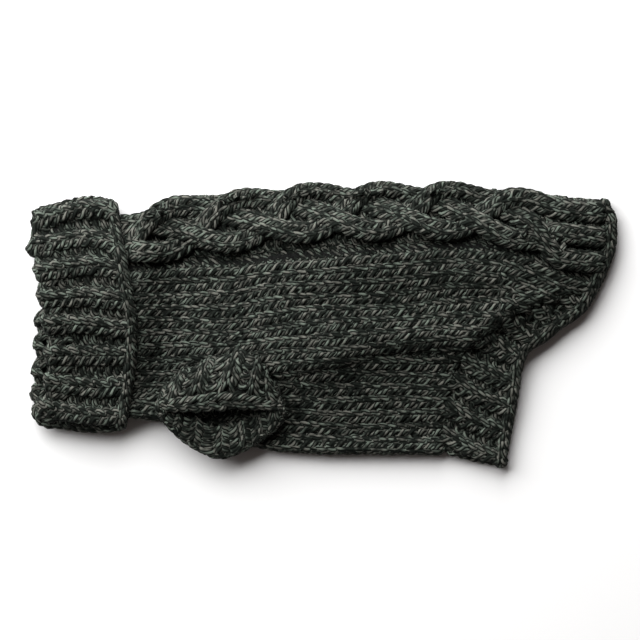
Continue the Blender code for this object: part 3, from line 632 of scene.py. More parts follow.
@dataclass(frozen=True)
class CuffForm:
    """Form of the near leg cuff: a short tube that leans over with its mouth open."""

    body: BodyForm
    base: tuple[float, float] = (-56.5, -34.5)
    base_half: tuple[float, float] = (31.5, 21.5)
    corner_power: float = 1.45
    apex_shift: float = 11.0
    lip_power: float = 1.42
    left: tuple[float, float] = (-92.0, -43.5)
    right: tuple[float, float] = (-21.5, -48.0)
    upper_y: float = -45.5
    lower_y: float = -72.5
    clear: float = 0.78
    rise: float = 12.5
    side_rise: float = 6.5
    rise_power: float = 0.8
    swell_power: float = 0.9
    lean: float = 0.7

    def lip(self, c: Array, s: Array) -> tuple[Array, Array]:
        """Plan of the cuff's mouth.

        Args:
            c: Cosine of the way round.
            s: Sine of the way round.

        Returns:
            X and Y.
        """
        sharp = np.where(s < 0.0, self.reach(c, s, self.lip_power), 1.0)
        end_y = self.left[1] + (self.right[1] - self.left[1]) * (0.5 + 0.5 * c)
        middle_x = (self.left[0] + self.right[0]) / 2.0
        half_x = (self.right[0] - self.left[0]) / 2.0
        y = np.where(s >= 0.0, end_y - (end_y - self.upper_y) * s,
                     end_y + (end_y - self.lower_y) * s * sharp)
        return middle_x + half_x * c * sharp, y

    @staticmethod
    def reach(c: Array, s: Array, power: float) -> Array:
        """Reach of an oval whose ends are the more pointed the lower its power is."""
        return (np.abs(c) ** power + np.abs(s) ** power) ** (-1.0 / power)

    def point(self, turn: Array, t: Array) -> Array:
        """Points of the cuff's outer face.

        Args:
            turn: The angle round the cuff.
            t: Share of the way from the panel to the lip.

        Returns:
            The points.
        """
        c, s = np.cos(turn), np.sin(turn)
        up = np.maximum(0.0, s)
        reach = self.reach(c, s, self.corner_power)
        base_x = self.base[0] + self.base_half[0] * reach * c + self.apex_shift * up ** 3
        base_y = self.base[1] + self.base_half[1] * reach * s
        lip_x, lip_y = self.lip(c, s)
        rise = self.side_rise + (self.rise - self.side_rise) * up ** self.rise_power
        rise = rise * np.where(s < 0.0, ease(1.0 + s), 1.0)
        t = np.maximum(t, 0.0)
        lean = t ** (1.0 + self.lean * up)
        x = base_x + lean * (lip_x - base_x)
        y = base_y + lean * (lip_y - base_y)
        swell = np.sin(np.minimum(t, 1.0) * PI / 2.0) ** self.swell_power
        floor = self.body.high(x, y) + self.clear
        return np.stack([x, y, floor + rise * swell], axis=-1)


# ---------------------------------------------------------------- shader graph
class Value:
    """A number that varies over a surface: a socket with the usual operators."""

    def __init__(self, graph: "Graph", socket: bpy.types.NodeSocket) -> None:
        """Wrap an output socket of a graph."""
        self.graph = graph
        self.socket = socket

    def _math(self, operation: str, *values: "Number") -> "Value":
        """Add a Math node over values."""
        return self.graph.value("ShaderNodeMath", {"operation": operation}, dict(enumerate(values)))

    def __add__(self, other: "Number") -> "Value":
        """Sum."""
        return self._math("ADD", self, other)

    def __mul__(self, other: "Number") -> "Value":
        """Product."""
        return self._math("MULTIPLY", self, other)

    def __sub__(self, other: "Number") -> "Value":
        """Difference."""
        return self._math("SUBTRACT", self, other)

    def __rsub__(self, other: "Number") -> "Value":
        """Difference from a number."""
        return self._math("SUBTRACT", other, self)

    def __mod__(self, other: "Number") -> "Value":
        """Remainder."""
        return self._math("FLOORED_MODULO", self, other)

    __radd__ = __add__
    __rmul__ = __mul__

    def cos(self) -> "Value":
        """Cosine."""
        return self._math("COSINE", self)

    def sin(self) -> "Value":
        """Sine."""
        return self._math("SINE", self)

    def floor(self) -> "Value":
        """Whole part."""
        return self._math("FLOOR", self)

    def between(self, low: float, high: float) -> "Value":
        """Ease from 0 at low to 1 at high."""
        return self.graph.value("ShaderNodeMapRange", {"interpolation_type": "SMOOTHSTEP"},
                                {"Value": self, "From Min": low, "From Max": high})


Number = Union[Value, float]
Socket = bpy.types.NodeSocket
Input = Union[Value, Socket, Colour, float]


class Graph:
    """The nodes of one material."""

    def __init__(self, name: str) -> None:
        """Start a material with one Principled shader.

        Args:
            name: The material's name.
        """
        self.material = bpy.data.materials.new(name)
        self.material.use_nodes = True
        self.tree = self.material.node_tree

    def node(self, kind: str, settings: Optional[dict[str, Any]] = None,
             inputs: Optional[dict[Any, Input]] = None, output: Union[int, str] = 0) -> Socket:
        """Add a node.

        Args:
            kind: Its Blender type.
            settings: Its properties, set before its sockets.
            inputs: Values or links of its sockets, by name or number.
            output: The output to return, by name or number.

        Returns:
            The output socket.
        """
        made = self.tree.nodes.new(kind)
        for name, value in (settings or {}).items():
            setattr(made, name, value)
        for name, value in (inputs or {}).items():
            self.join(value, made.inputs[name])
        return made.outputs[output]

    def value(self, kind: str, settings: Optional[dict[str, Any]] = None,
              inputs: Optional[dict[Any, Input]] = None, output: Union[int, str] = 0) -> Value:
        """Add a node, as node() does, and wrap its output."""
        return Value(self, self.node(kind, settings, inputs, output))

    def join(self, value: Input, socket: Socket) -> None:
        """Link a value to a socket, or set the socket to a plain number or colour.

        Args:
            value: The value.
            socket: The input socket.
        """
        if isinstance(value, Value):
            value = value.socket
        if isinstance(value, Socket):
            self.tree.links.new(value, socket)
        else:
            socket.default_value = value

    def mix(self, factor: Number, first: Input, second: Input) -> Socket:
        """Mix two colours."""
        return self.node("ShaderNodeMix", {"data_type": "RGBA"}, {0: factor, 6: first, 7: second}, 2)

    def shade(self, inputs: dict[str, Input]) -> bpy.types.Material:
        """Set the shader's sockets.

        Args:
            inputs: Their values or links, by name.

        Returns:
            The material.
        """
        shader = self.tree.nodes["Principled BSDF"]
        for name, value in inputs.items():
            self.join(value, shader.inputs[name])
        return self.material


def colour(red: float, green: float, blue: float) -> Colour:
    """An opaque linear colour."""
    return (red, green, blue, 1.0)


@dataclass(frozen=True)
class Flecks:
    """Noise that runs along each ply of a yarn and is even across it."""

    stride: float
    length: float
    detail: float
    roughness: float = 0.55

    def build(self, g: Graph, ply: Value, along: Value) -> Value:
        """Add the noise.

        Args:
            g: The material's nodes.
            ply: The ply's number.
            along: Millimetres along the yarn.

        Returns:
            The noise, from 0 to 1.
        """
        place = g.node("ShaderNodeCombineXYZ", None,
                       {0: ply * self.stride, 1: along * (1.0 / self.length)})
        return g.value("ShaderNodeTexNoise", {"noise_dimensions": "2D"}, {
            "Vector": place, "Scale": 1.0, "Detail": self.detail, "Roughness": self.roughness})


@dataclass(frozen=True)
class YarnFinish:
    """Plied charcoal wool, with lighter fibres through it, and painted shade in the grooves between
    its plies.
    """

    name: str = "charcoal_heather_yarn"
    # deep is painted shade: the near-black colour given to the grooves between the plies
    deep: Colour = colour(0.0011, 0.0018, 0.0012)
    body: Colour = colour(0.0050, 0.0068, 0.0052)
    pale: Colour = colour(0.091, 0.109, 0.090)
    warm: Colour = colour(0.103, 0.104, 0.090)
    plies: int = 5
    heather: Flecks = Flecks(stride=17.3, length=4.6, detail=1.0)
    heather_share: float = 0.8
    tint: Flecks = Flecks(stride=31.7, length=4.6 / 0.6, detail=0.0)
    fibre_round: float = 1.85
    fibre_along: float = 0.22
    fibre_scale: float = 1.9
    fibre_share: float = 0.2
    patch_scale: float = 75.0
    patch_share: float = 0.14
    fleck_range: tuple[float, float] = (0.39, 0.67)
    tint_range: tuple[float, float] = (0.4, 0.6)
    # crown values over which the painted groove shade gives way to the wool's own body colour
    groove_shade_range: tuple[float, float] = (0.06, 0.6)
    relief: float = 0.35
    relief_height: float = 0.0005
    fibre_relief: float = 0.35
    roughness: float = 0.85
    specular: float = 0.08
    sheen: float = 0.02
    sheen_roughness: float = 0.5
    sheen_tint: Colour = colour(0.7, 0.74, 0.7)

    def fibre(self, g: Graph, turns: Value, along: Value) -> Value:
        """Fine noise along the fibres.

        Args:
            g: The material's nodes.
            turns: Way round the yarn, counted in plies.
            along: Millimetres along the yarn.

        Returns:
            The noise, from 0 to 1.
        """
        around = turns * (TURN / self.plies)
        place = g.node("ShaderNodeCombineXYZ", None, {
            0: around.cos() * self.fibre_round, 1: around.sin() * self.fibre_round,
            2: along * self.fibre_along})
        return g.value("ShaderNodeTexNoise", {"noise_dimensions": "3D"}, {
            "Vector": place, "Scale": self.fibre_scale, "Detail": 2.0, "Roughness": 0.5})

    def build(self) -> bpy.types.Material:
        """Make the material.

        Returns:
            The material.
        """
        g = Graph(self.name)
        place = g.node("ShaderNodeUVMap", {"uv_map": YARN_MAP})
        turns = g.value("ShaderNodeSeparateXYZ", None, {0: place}, "X") * float(self.plies)
        along = g.value("ShaderNodeSeparateXYZ", None, {0: place}, "Y")
        crown = (turns * TURN).cos() * 0.5 + 0.5
        ply = ((turns + 0.5) % float(self.plies)).floor()
        fibre = self.fibre(g, turns, along)
        patch = g.value("ShaderNodeTexNoise", None, {
            "Vector": g.node("ShaderNodeTexCoord", None, None, "Object"),
            "Scale": self.patch_scale, "Detail": 1.0})
        tone = (self.heather.build(g, ply, along) * self.heather_share + fibre * self.fibre_share
                + (patch - 0.5) * self.patch_share)
        # painted shade: the grooves between the plies take the deep colour, and only the crowns show
        # the body colour and the flecks
        lit = crown.between(*self.groove_shade_range)
        wool = g.mix(lit, self.deep, self.body)
        fleck = g.mix(self.tint.build(g, ply, along).between(*self.tint_range), self.pale, self.warm)
        bump = g.node("ShaderNodeBump", None, {
            "Strength": self.relief, "Distance": self.relief_height,
            "Height": crown + fibre * self.fibre_relief})
        return g.shade({
            "Base Color": g.mix(tone.between(*self.fleck_range) * lit, wool, fleck),
            "Normal": bump, "Roughness": self.roughness, "Specular IOR Level": self.specular,
            "Sheen Weight": self.sheen, "Sheen Roughness": self.sheen_roughness,
            "Sheen Tint": self.sheen_tint})


@dataclass(frozen=True)
class ShadedGroundFinish:
    """Matted charcoal wool that shows between the loops, darkened near black as painted shade where
    the loops part.
    """

    name: str = "charcoal_matted_wool_painted_shade"
    # dark and light are charcoal wool darkened near black: painted shade for the gaps between the
    # loops
    dark: Colour = colour(0.002, 0.002, 0.002)
    light: Colour = colour(0.009, 0.010, 0.009)
    light_range: tuple[float, float] = (0.35, 0.7)
    fibre_scale: float = 900.0
    relief: float = 0.7
    relief_height: float = 0.0008
    roughness: float = 0.95
    specular: float = 0.1

    def build(self) -> bpy.types.Material:
        """Make the material.

        Returns:
            The material.
        """
        g = Graph(self.name)
        fibre = g.value("ShaderNodeTexNoise", None, {
            "Vector": g.node("ShaderNodeTexCoord", None, None, "Object"),
            "Scale": self.fibre_scale, "Detail": 3.0, "Distortion": 1.5})
        bump = g.node("ShaderNodeBump", None, {
            "Strength": self.relief, "Distance": self.relief_height, "Height": fibre})
        return g.shade({
            "Base Color": g.mix(fibre.between(*self.light_range), self.dark, self.light),
            "Normal": bump, "Roughness": self.roughness, "Specular IOR Level": self.specular})


# ---------------------------------------------------------------- meshes
def show(name: str, data: Any) -> bpy.types.Object:
    """Make an object and put it in the scene.

    Args:
        name: Its name.
        data: Its mesh, light or camera.

    Returns:
        The object.
    """
    made = bpy.data.objects.new(name, data)
    bpy.context.scene.collection.objects.link(made)
    return made


def make_piece(name: str, points: Array, faces: Sequence[Array], finish: bpy.types.Material,
               uvs: Optional[Array] = None) -> bpy.types.Object:
    """Make a mesh object from points in millimetres.

    Args:
        name: The piece's name.
        points: Its points.
        faces: Arrays of faces, each array with faces of one size.
        finish: Its material.
        uvs: A place on the yarn for each corner of its faces, in order.

    Returns:
        The object, riding on the sweater.
    """
    placed = points - np.array([MIDDLE[0], MIDDLE[1], 0.0])
    placed[:, 2] = PRESSED * np.logaddexp(0.0, placed[:, 2] / PRESSED)
    sizes = np.concatenate([np.full(len(block), block.shape[1]) for block in faces])
    corners = np.concatenate([block.ravel() for block in faces])
    starts = np.concatenate([[0], np.cumsum(sizes)[:-1]])
    mesh = bpy.data.meshes.new(name)
    mesh.vertices.add(len(placed))
    mesh.vertices.foreach_set("co", (placed * MM).astype(np.float32).ravel())
    mesh.loops.add(len(corners))
    mesh.loops.foreach_set("vertex_index", corners.astype(np.int32))
    mesh.polygons.add(len(sizes))
    mesh.polygons.foreach_set("loop_start", starts.astype(np.int32))
    mesh.polygons.foreach_set("use_smooth", np.ones(len(sizes), bool))
    mesh.update(calc_edges=True)
    if uvs is not None:
        layer = mesh.uv_layers.new(name=YARN_MAP)
        layer.data.foreach_set("uv", uvs.astype(np.float32).ravel())
    mesh.validate()
    mesh.materials.append(finish)
    made = show(name, mesh)
    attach(made, BODY)
    return made


@dataclass(frozen=True)
class Yarn:
    """Plied yarn, as thick as it lies in the cloth."""

    radius: float = 1.82
    sides: int = 9
    steps: int = 18
    lay: float = -21.0
    flatness: float = 0.92


FINE = Yarn()
PLAIN = Yarn(sides=5, steps=12)


class YarnMesh:
    """Tubes of yarn that are gathered into one mesh."""

    ball = 4000.0                  # length over which the tubes' starts are spread

    def __init__(self, yarn: Yarn, seed: int) -> None:
        """Start with no yarn.

        Args:
            yarn: The yarn of every tube.
            seed: Seed of its unevenness.
        """
        self.yarn = yarn
        self.random = np.random.default_rng(seed)
        self.points: list[Array] = []
        self.quads: list[Array] = []
        self.caps: list[Array] = []
        self.uvs: list[Array] = []
        self.cap_uvs: list[Array] = []
        self.count = 0

    def add(self, line: Array, normals: Array, thickness: Array) -> None:
        """Add one tube.

        Args:
            line: Points of its centreline.
            normals: The cloth's normals there.
            thickness: Its thickness there, as a share of the yarn's own.
        """
        yarn = self.yarn
        tangent = unit(np.gradient(line, axis=0))
        side = unit(np.cross(normals, tangent))
        up = np.cross(tangent, side)
        steps = np.linalg.norm(np.diff(line, axis=0), axis=1)
        run = np.concatenate([[0.0], np.cumsum(steps)]) + self.random.uniform(0.0, self.ball)
        corner = np.arange(yarn.sides)
        turn = TURN * corner[None, :] / yarn.sides + TURN * run[:, None] / yarn.lay
        radius = yarn.radius * thickness[:, None]
        ring = (line[:, None, :] + (radius * np.cos(turn))[..., None] * side[:, None, :]
                + (yarn.flatness * radius * np.sin(turn))[..., None] * up[:, None, :])
        self.points.append(ring.reshape(-1, 3))
        self.close(len(line))
        self.map(run)

    def close(self, rings: int) -> None:
        """Add the faces of a tube, with a cap at each end.

        Args:
            rings: How many rings of points it has.
        """
        sides = self.yarn.sides
        numbers = self.count + np.arange(rings * sides).reshape(rings, sides)
        after = np.roll(numbers, -1, axis=1)
        quads = np.stack([numbers[:-1], after[:-1], after[1:], numbers[1:]], axis=-1)
        self.quads.append(quads.reshape(-1, 4))
        self.caps.append(np.stack([numbers[0][::-1], numbers[-1]]))
        self.count += rings * sides

    def map(self, run: Array) -> None:
        """Add the way round and along the yarn for each corner of a tube's faces.

        Args:
            run: Length along the yarn at each ring.
        """
        sides = self.yarn.sides
        rows = (len(run) - 1, sides)
        low = np.arange(sides) / sides
        high = (np.arange(sides) + 1) / sides
        u = np.broadcast_to(np.stack([low, high, high, low], axis=-1), rows + (4,))
        v = np.concatenate([np.broadcast_to(run[:-1, None, None], rows + (2,)),
                            np.broadcast_to(run[1:, None, None], rows + (2,))], axis=-1)
        self.uvs.append(np.stack([u, v], axis=-1).reshape(-1, 2))
        cap_u = np.concatenate([low[::-1], low])
        cap_v = np.repeat([run[0], run[-1]], sides)
        self.cap_uvs.append(np.stack([cap_u, cap_v], axis=-1))

    def build(self, name: str, finish: bpy.types.Material) -> bpy.types.Object:
        """Make the object.

        Args:
            name: Its name.
            finish: Its material.

        Returns:
            The object.
        """
        faces = [np.concatenate(self.quads), np.concatenate(self.caps)]
        uvs = np.concatenate(self.uvs + self.cap_uvs)
        made = make_piece(name, np.concatenate(self.points), faces, finish, uvs)
        triangles = 2 * len(faces[0]) + (self.yarn.sides - 2) * len(faces[1])
        LOG.info("%s: %d triangles", name, triangles)
        return made


def cloth_shell(name: str, grid: Array, finish: bpy.types.Material,
                depth: Union[float, Array] = CLOTH_DEPTH, thickness: float = 0.7,
                closed: bool = False) -> bpy.types.Object:
    """A closed thin cloth under a grid of points of an outer face.

    Args:
        name: The piece's name.
        grid: Rows of points, whose row step crossed with column step points outwards.
        finish: Its material.
        depth: How far it lies under the face, as one number or for each point.
        thickness: Its own thickness.
        closed: Whether each row closes on itself.

    Returns:
        The object.
    """
    rows, columns = grid.shape[:2]
    numbers = np.arange(rows * columns).reshape(rows, columns)
    along = np.gradient(grid, axis=1)
    if closed:
        wide = np.concatenate([grid[:, -1:], grid, grid[:, :1]], axis=1)
        along = np.gradient(wide, axis=1)[:, 1:-1]
        numbers = np.concatenate([numbers, numbers[:, :1]], axis=1)
    normal = unit(np.cross(np.gradient(grid, axis=0), along))
    depth = np.asarray(depth)[..., None]
    outer = grid - normal * depth
    inner = grid - normal * (depth + thickness)
    skin = np.stack([numbers[:-1, :-1], numbers[1:, :-1], numbers[1:, 1:], numbers[:-1, 1:]], -1)
    skin = skin.reshape(-1, 4)
    step = rows * columns
    loops = [numbers[0], numbers[-1][::-1]]
    if not closed:
        loops += [numbers[::-1, 0], numbers[:, -1]]
    edges = [np.stack([loop[:-1], loop[1:], loop[1:] + step, loop[:-1] + step], -1)
             for loop in loops]
    points = np.concatenate([outer.reshape(-1, 3), inner.reshape(-1, 3)])
    return make_piece(name, points, [skin, (skin + step)[:, ::-1]] + edges, finish)


# ---------------------------------------------------------------- knitting
class Pattern(Enum):
    """Which wales of a stretch of knitting are knit; the others are purl."""

    STOCKING = "all"
    PURL = "none"
    RIB = "every second one"

    def face(self, wale: Array) -> Array:
        """Tell knit wales from purl ones.

        Args:
            wale: Numbers of wales.

        Returns:
            Plus 1 at knit wales, minus 1 at purl ones.
        """
        if self is Pattern.RIB:
            return np.where(wale % 2 == 0, 1.0, -1.0)
        return np.full_like(wale, 1.0 if self is Pattern.STOCKING else -1.0, float)


@dataclass(frozen=True)
class Hand:
    """How unevenly the stitches lie.

    Unevenness is drawn for each loop, and once more for each whole course.  The next five
    numbers turn it into wales across the cloth, into millimetres along and out of it, into a
    share of the yarn's thickness, and into millimetres along for the course.
    """

    unevenness: float = 1.15
    across: float = 0.035
    along: float = 0.22
    out: float = 0.16
    thickness: float = 0.05
    course: float = 0.12
    wander: float = 0.7
    wander_length: float = 16.0
    wander_turn: float = 1.1


STRAIGHT = Hand(wander=0.0)


@dataclass(frozen=True)
class Gauge:
    """Size and shape of the stitches."""

    wale: float = 7.15
    row: float = 4.84
    rise: float = 4.3
    swing: float = 2.1
    leg_lift: float = 0.6
    base_lift: float = 0.45
    depth: float = 2.6
    rib_depth: float = 0.0
    knit_share: float = 0.0
    hand: Hand = Hand()

    def rib(self, s: Array) -> Array:
        """Place of wale s of a one-by-one rib, whose knit wales are the wider ones."""
        return self.wale * (s + self.knit_share * (1.0 - np.abs(s % 2.0 - 1.0)))


def level(a: Array, s: Array) -> Array:
    """No lean, or no relief."""
    return np.zeros_like(a)


def nowhere(a: Array, b: Array) -> Array:
    """Nothing lies past the end."""
    return np.full_like(a, -FAR)


def between(low: float, high: float) -> Limits:
    """The same limits all along a piece."""
    return lambda a: (np.full_like(a, low), np.full_like(a, high))


def always(first: int, last: int) -> Wales:
    """The same wales in every course."""
    return lambda a: (first, last)


def stretches(keep: Array) -> list[slice]:
    """Runs of True in an array."""
    edges = np.flatnonzero(np.diff(np.concatenate([[False], keep, [False]]).astype(int)))
    return [slice(int(a), int(b)) for a, b in zip(edges[::2], edges[1::2])]


@dataclass
class Knitting:
    """A stretch of knitting over a surface.

    The surface takes a, along the wales and growing against the way of knitting, and b,
    across them.  Courses are numbered from start_a on, and wales from b_of(a, 0).  The yarn
    sinks at its limits and is cut off beyond them; past its end it is tucked down and cut off.
    """

    surface: Surface
    gauge: Gauge
    start_a: float
    rows: int
    b_of: Places
    wales: Wales
    pattern: Pattern = Pattern.STOCKING
    limits: Limits = between(-FAR, FAR)
    past: Places = nowhere
    relief: Places = level
    lean: Places = level
    turn_over: float = 0.24
    sink: float = 2.6
    sink_ease: float = 1.5
    sink_end: float = 3.0
    edge_sink: float = 0.9
    edge_ease: float = 2.5
    tuck: float = 2.6
    tuck_from: float = 2.0
    tuck_ease: float = 3.0
    tuck_end: float = 1.6
    draw_in: float = 0.0
    shortest: int = 4

    def knit(self, mesh: YarnMesh) -> None:
        """Lay every course.

        Args:
            mesh: Where its yarn goes.
        """
        for row in range(self.rows):
            a = self.start_a - (row + 0.5) * self.gauge.row
            first, last = self.wales(a)
            if last > first:
                self.course(mesh, a, first, last - first)

    def course(self, mesh: YarnMesh, middle: float, first: int, loops: int) -> None:
        """Lay one course.

        Args:
            mesh: Where its yarn goes.
            middle: Where its middle lies along the wales.
            first: Its first wale.
            loops: How many loops it has.
        """
        gauge, hand = self.gauge, self.gauge.hand
        t = np.linspace(0.0, TURN * loops, loops * mesh.yarn.steps + 1)
        loop = np.minimum((t / TURN).astype(int), loops - 1)
        stray = mesh.random.normal(0.0, hand.unevenness, (4, loops))[:, loop] * np.sin(t / 2.0) ** 2
        s = first + t / TURN + gauge.swing / gauge.wale * np.sin(2.0 * t) + hand.across * stray[0]
        a = middle + gauge.rise * np.cos(t) + hand.along * stray[1]
        a = a + hand.course * mesh.random.normal(0.0, hand.unevenness)
        a = a + self.lean(a, s)
        b = self.b_of(a, s) + hand.wander * np.sin(a / hand.wander_length + hand.wander_turn * s)
        over = self.past(a, b)
        low, high = self.limits(a)
        outside = np.maximum(low - b, 0.0) + np.maximum(b - high, 0.0)
        inside = np.minimum(b - low, high - b)
        b = np.clip(b, low, high)
        to_end = np.minimum(t, TURN * loops - t)
        height = (self.height(t, s, stray[2]) + self.relief(a, s)
                  - self.sink * ease(outside / self.sink_ease)
                  - self.edge_sink * (1.0 - ease(inside / self.edge_ease))
                  - self.tuck * ease((over + self.tuck_from) / self.tuck_ease)
                  - self.draw_in * (1.0 - ease(to_end)))
        normals = normals_of(self.surface, a, b)
        line = self.surface(a, b) + normals * height[:, None]
        thickness = 1.0 + hand.thickness * stray[3]
        for part in stretches((outside <= self.sink_end) & (over <= self.tuck_end)):
            if part.stop - part.start > self.shortest:
                mesh.add(line[part], normals[part], thickness[part])

    def height(self, t: Array, s: Array, stray: Array) -> Array:
        """How far the yarn stands off the surface, as far as the stitches settle it.

        Args:
            t: Place in the loops, a turn to each.
            s: Wale, with its fraction.
            stray: Unevenness.

        Returns:
            The height at each place.
        """
        gauge = self.gauge
        side = self.side(s)
        lift = side * (gauge.base_lift * np.cos(t) - gauge.leg_lift * np.cos(2.0 * t))
        return lift + gauge.hand.out * stray - gauge.depth - gauge.rib_depth * (0.5 - 0.5 * side)

    def side(self, s: Array) -> Array:
        """Which side of the cloth the yarn is on, passing smoothly between wales.

        Args:
            s: Wale, with its fraction.

        Returns:
            Plus 1 over knit wales, minus 1 over purl ones.
        """
        near = np.floor(s + 0.5)
        before, after = self.pattern.face(near - 1.0), self.pattern.face(near)
        return before + (after - before) * ease((s - near) / self.turn_over + 0.5)


# ---------------------------------------------------------------- the pieces
@dataclass(frozen=True)
class Finishes:
    """The materials that the pieces share."""

    yarn: bpy.types.Material
    # ground is the near-black cloth under the loops, painted shade between them
    ground: bpy.types.Material


@dataclass(frozen=True)
class Cut:
    """Size of what shows of a piece when it is laid flat, in metres."""

    width: float
    length: float
    area: float


@dataclass
class Piece:
    """One piece of the sweater: its thin cloth and the knitting on it."""

    finishes: Finishes
    body: BodyForm
    node: str = ""
    slot: str = "charcoal_rib"
    cut: Optional[Cut] = None
    rests_on: tuple[str, ...] = ("back", "belly")
    held: str = "laid"
    dip_to: float = 0.45
    dip_ease: float = 0.5

    def knitted(self) -> list[bpy.types.Object]:
        """Knit the piece."""
        raise NotImplementedError

    def cloth(self) -> bpy.types.Object:
        """Make the thin cloth under the knitting."""
        raise NotImplementedError

    def build(self) -> None:
        """Make the piece, and hide its node, which its cloth and knitting stand in for."""
        knitted = self.knitted()
        cloth = self.cloth()
        for made in [cloth, *knitted]:
            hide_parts(self.node)
        LOG.info("built %s: its cloth and %d stretches of knitting", self.node, len(knitted))

    def knit(self, part: str, yarn: Yarn, seed: int, knitting: Knitting) -> bpy.types.Object:
        """Knit one stretch.

        Args:
            part: What it is called on this piece.
            yarn: Its yarn.
            seed: Seed of its unevenness.
            knitting: What to knit.

        Returns:
            The object.
        """
        mesh = YarnMesh(yarn, seed)
        knitting.knit(mesh)
        return mesh.build(f"{self.node}_{part}", self.finishes.yarn)

    def cast_off(self, face: Surface, edge: float, chain: Gauge, start: float, length: float,
                 seed: int, dip: float = 0.0) -> bpy.types.Object:
        """Knit the chain of cast-off stitches along an edge.

        Args:
            face: The face that the edge is on.
            edge: Where the edge is along the wales.
            chain: The chain's gauge.
            start: Where the chain starts across the wales.
            length: Its length.
            seed: Seed of its unevenness.
            dip: How deep its inner half dips.

        Returns:
            The object.
        """
        return self.knit("cast_off", FINE, seed, Knitting(
            lambda a, b: face(edge - b, a), chain, start, int(length / chain.row),
            lambda a, s: chain.wale * (s - 0.5), always(0, 1),
            relief=lambda a, s: -dip * ease((self.dip_to - s) / self.dip_ease), draw_in=SUNK))

    def lay(self, grid: Array, **sizes: Any) -> bpy.types.Object:
        """Lay the thin cloth under a grid of points; sizes are those of cloth_shell()."""
        return cloth_shell(f"{self.node}_cloth", grid, self.finishes.ground, **sizes)


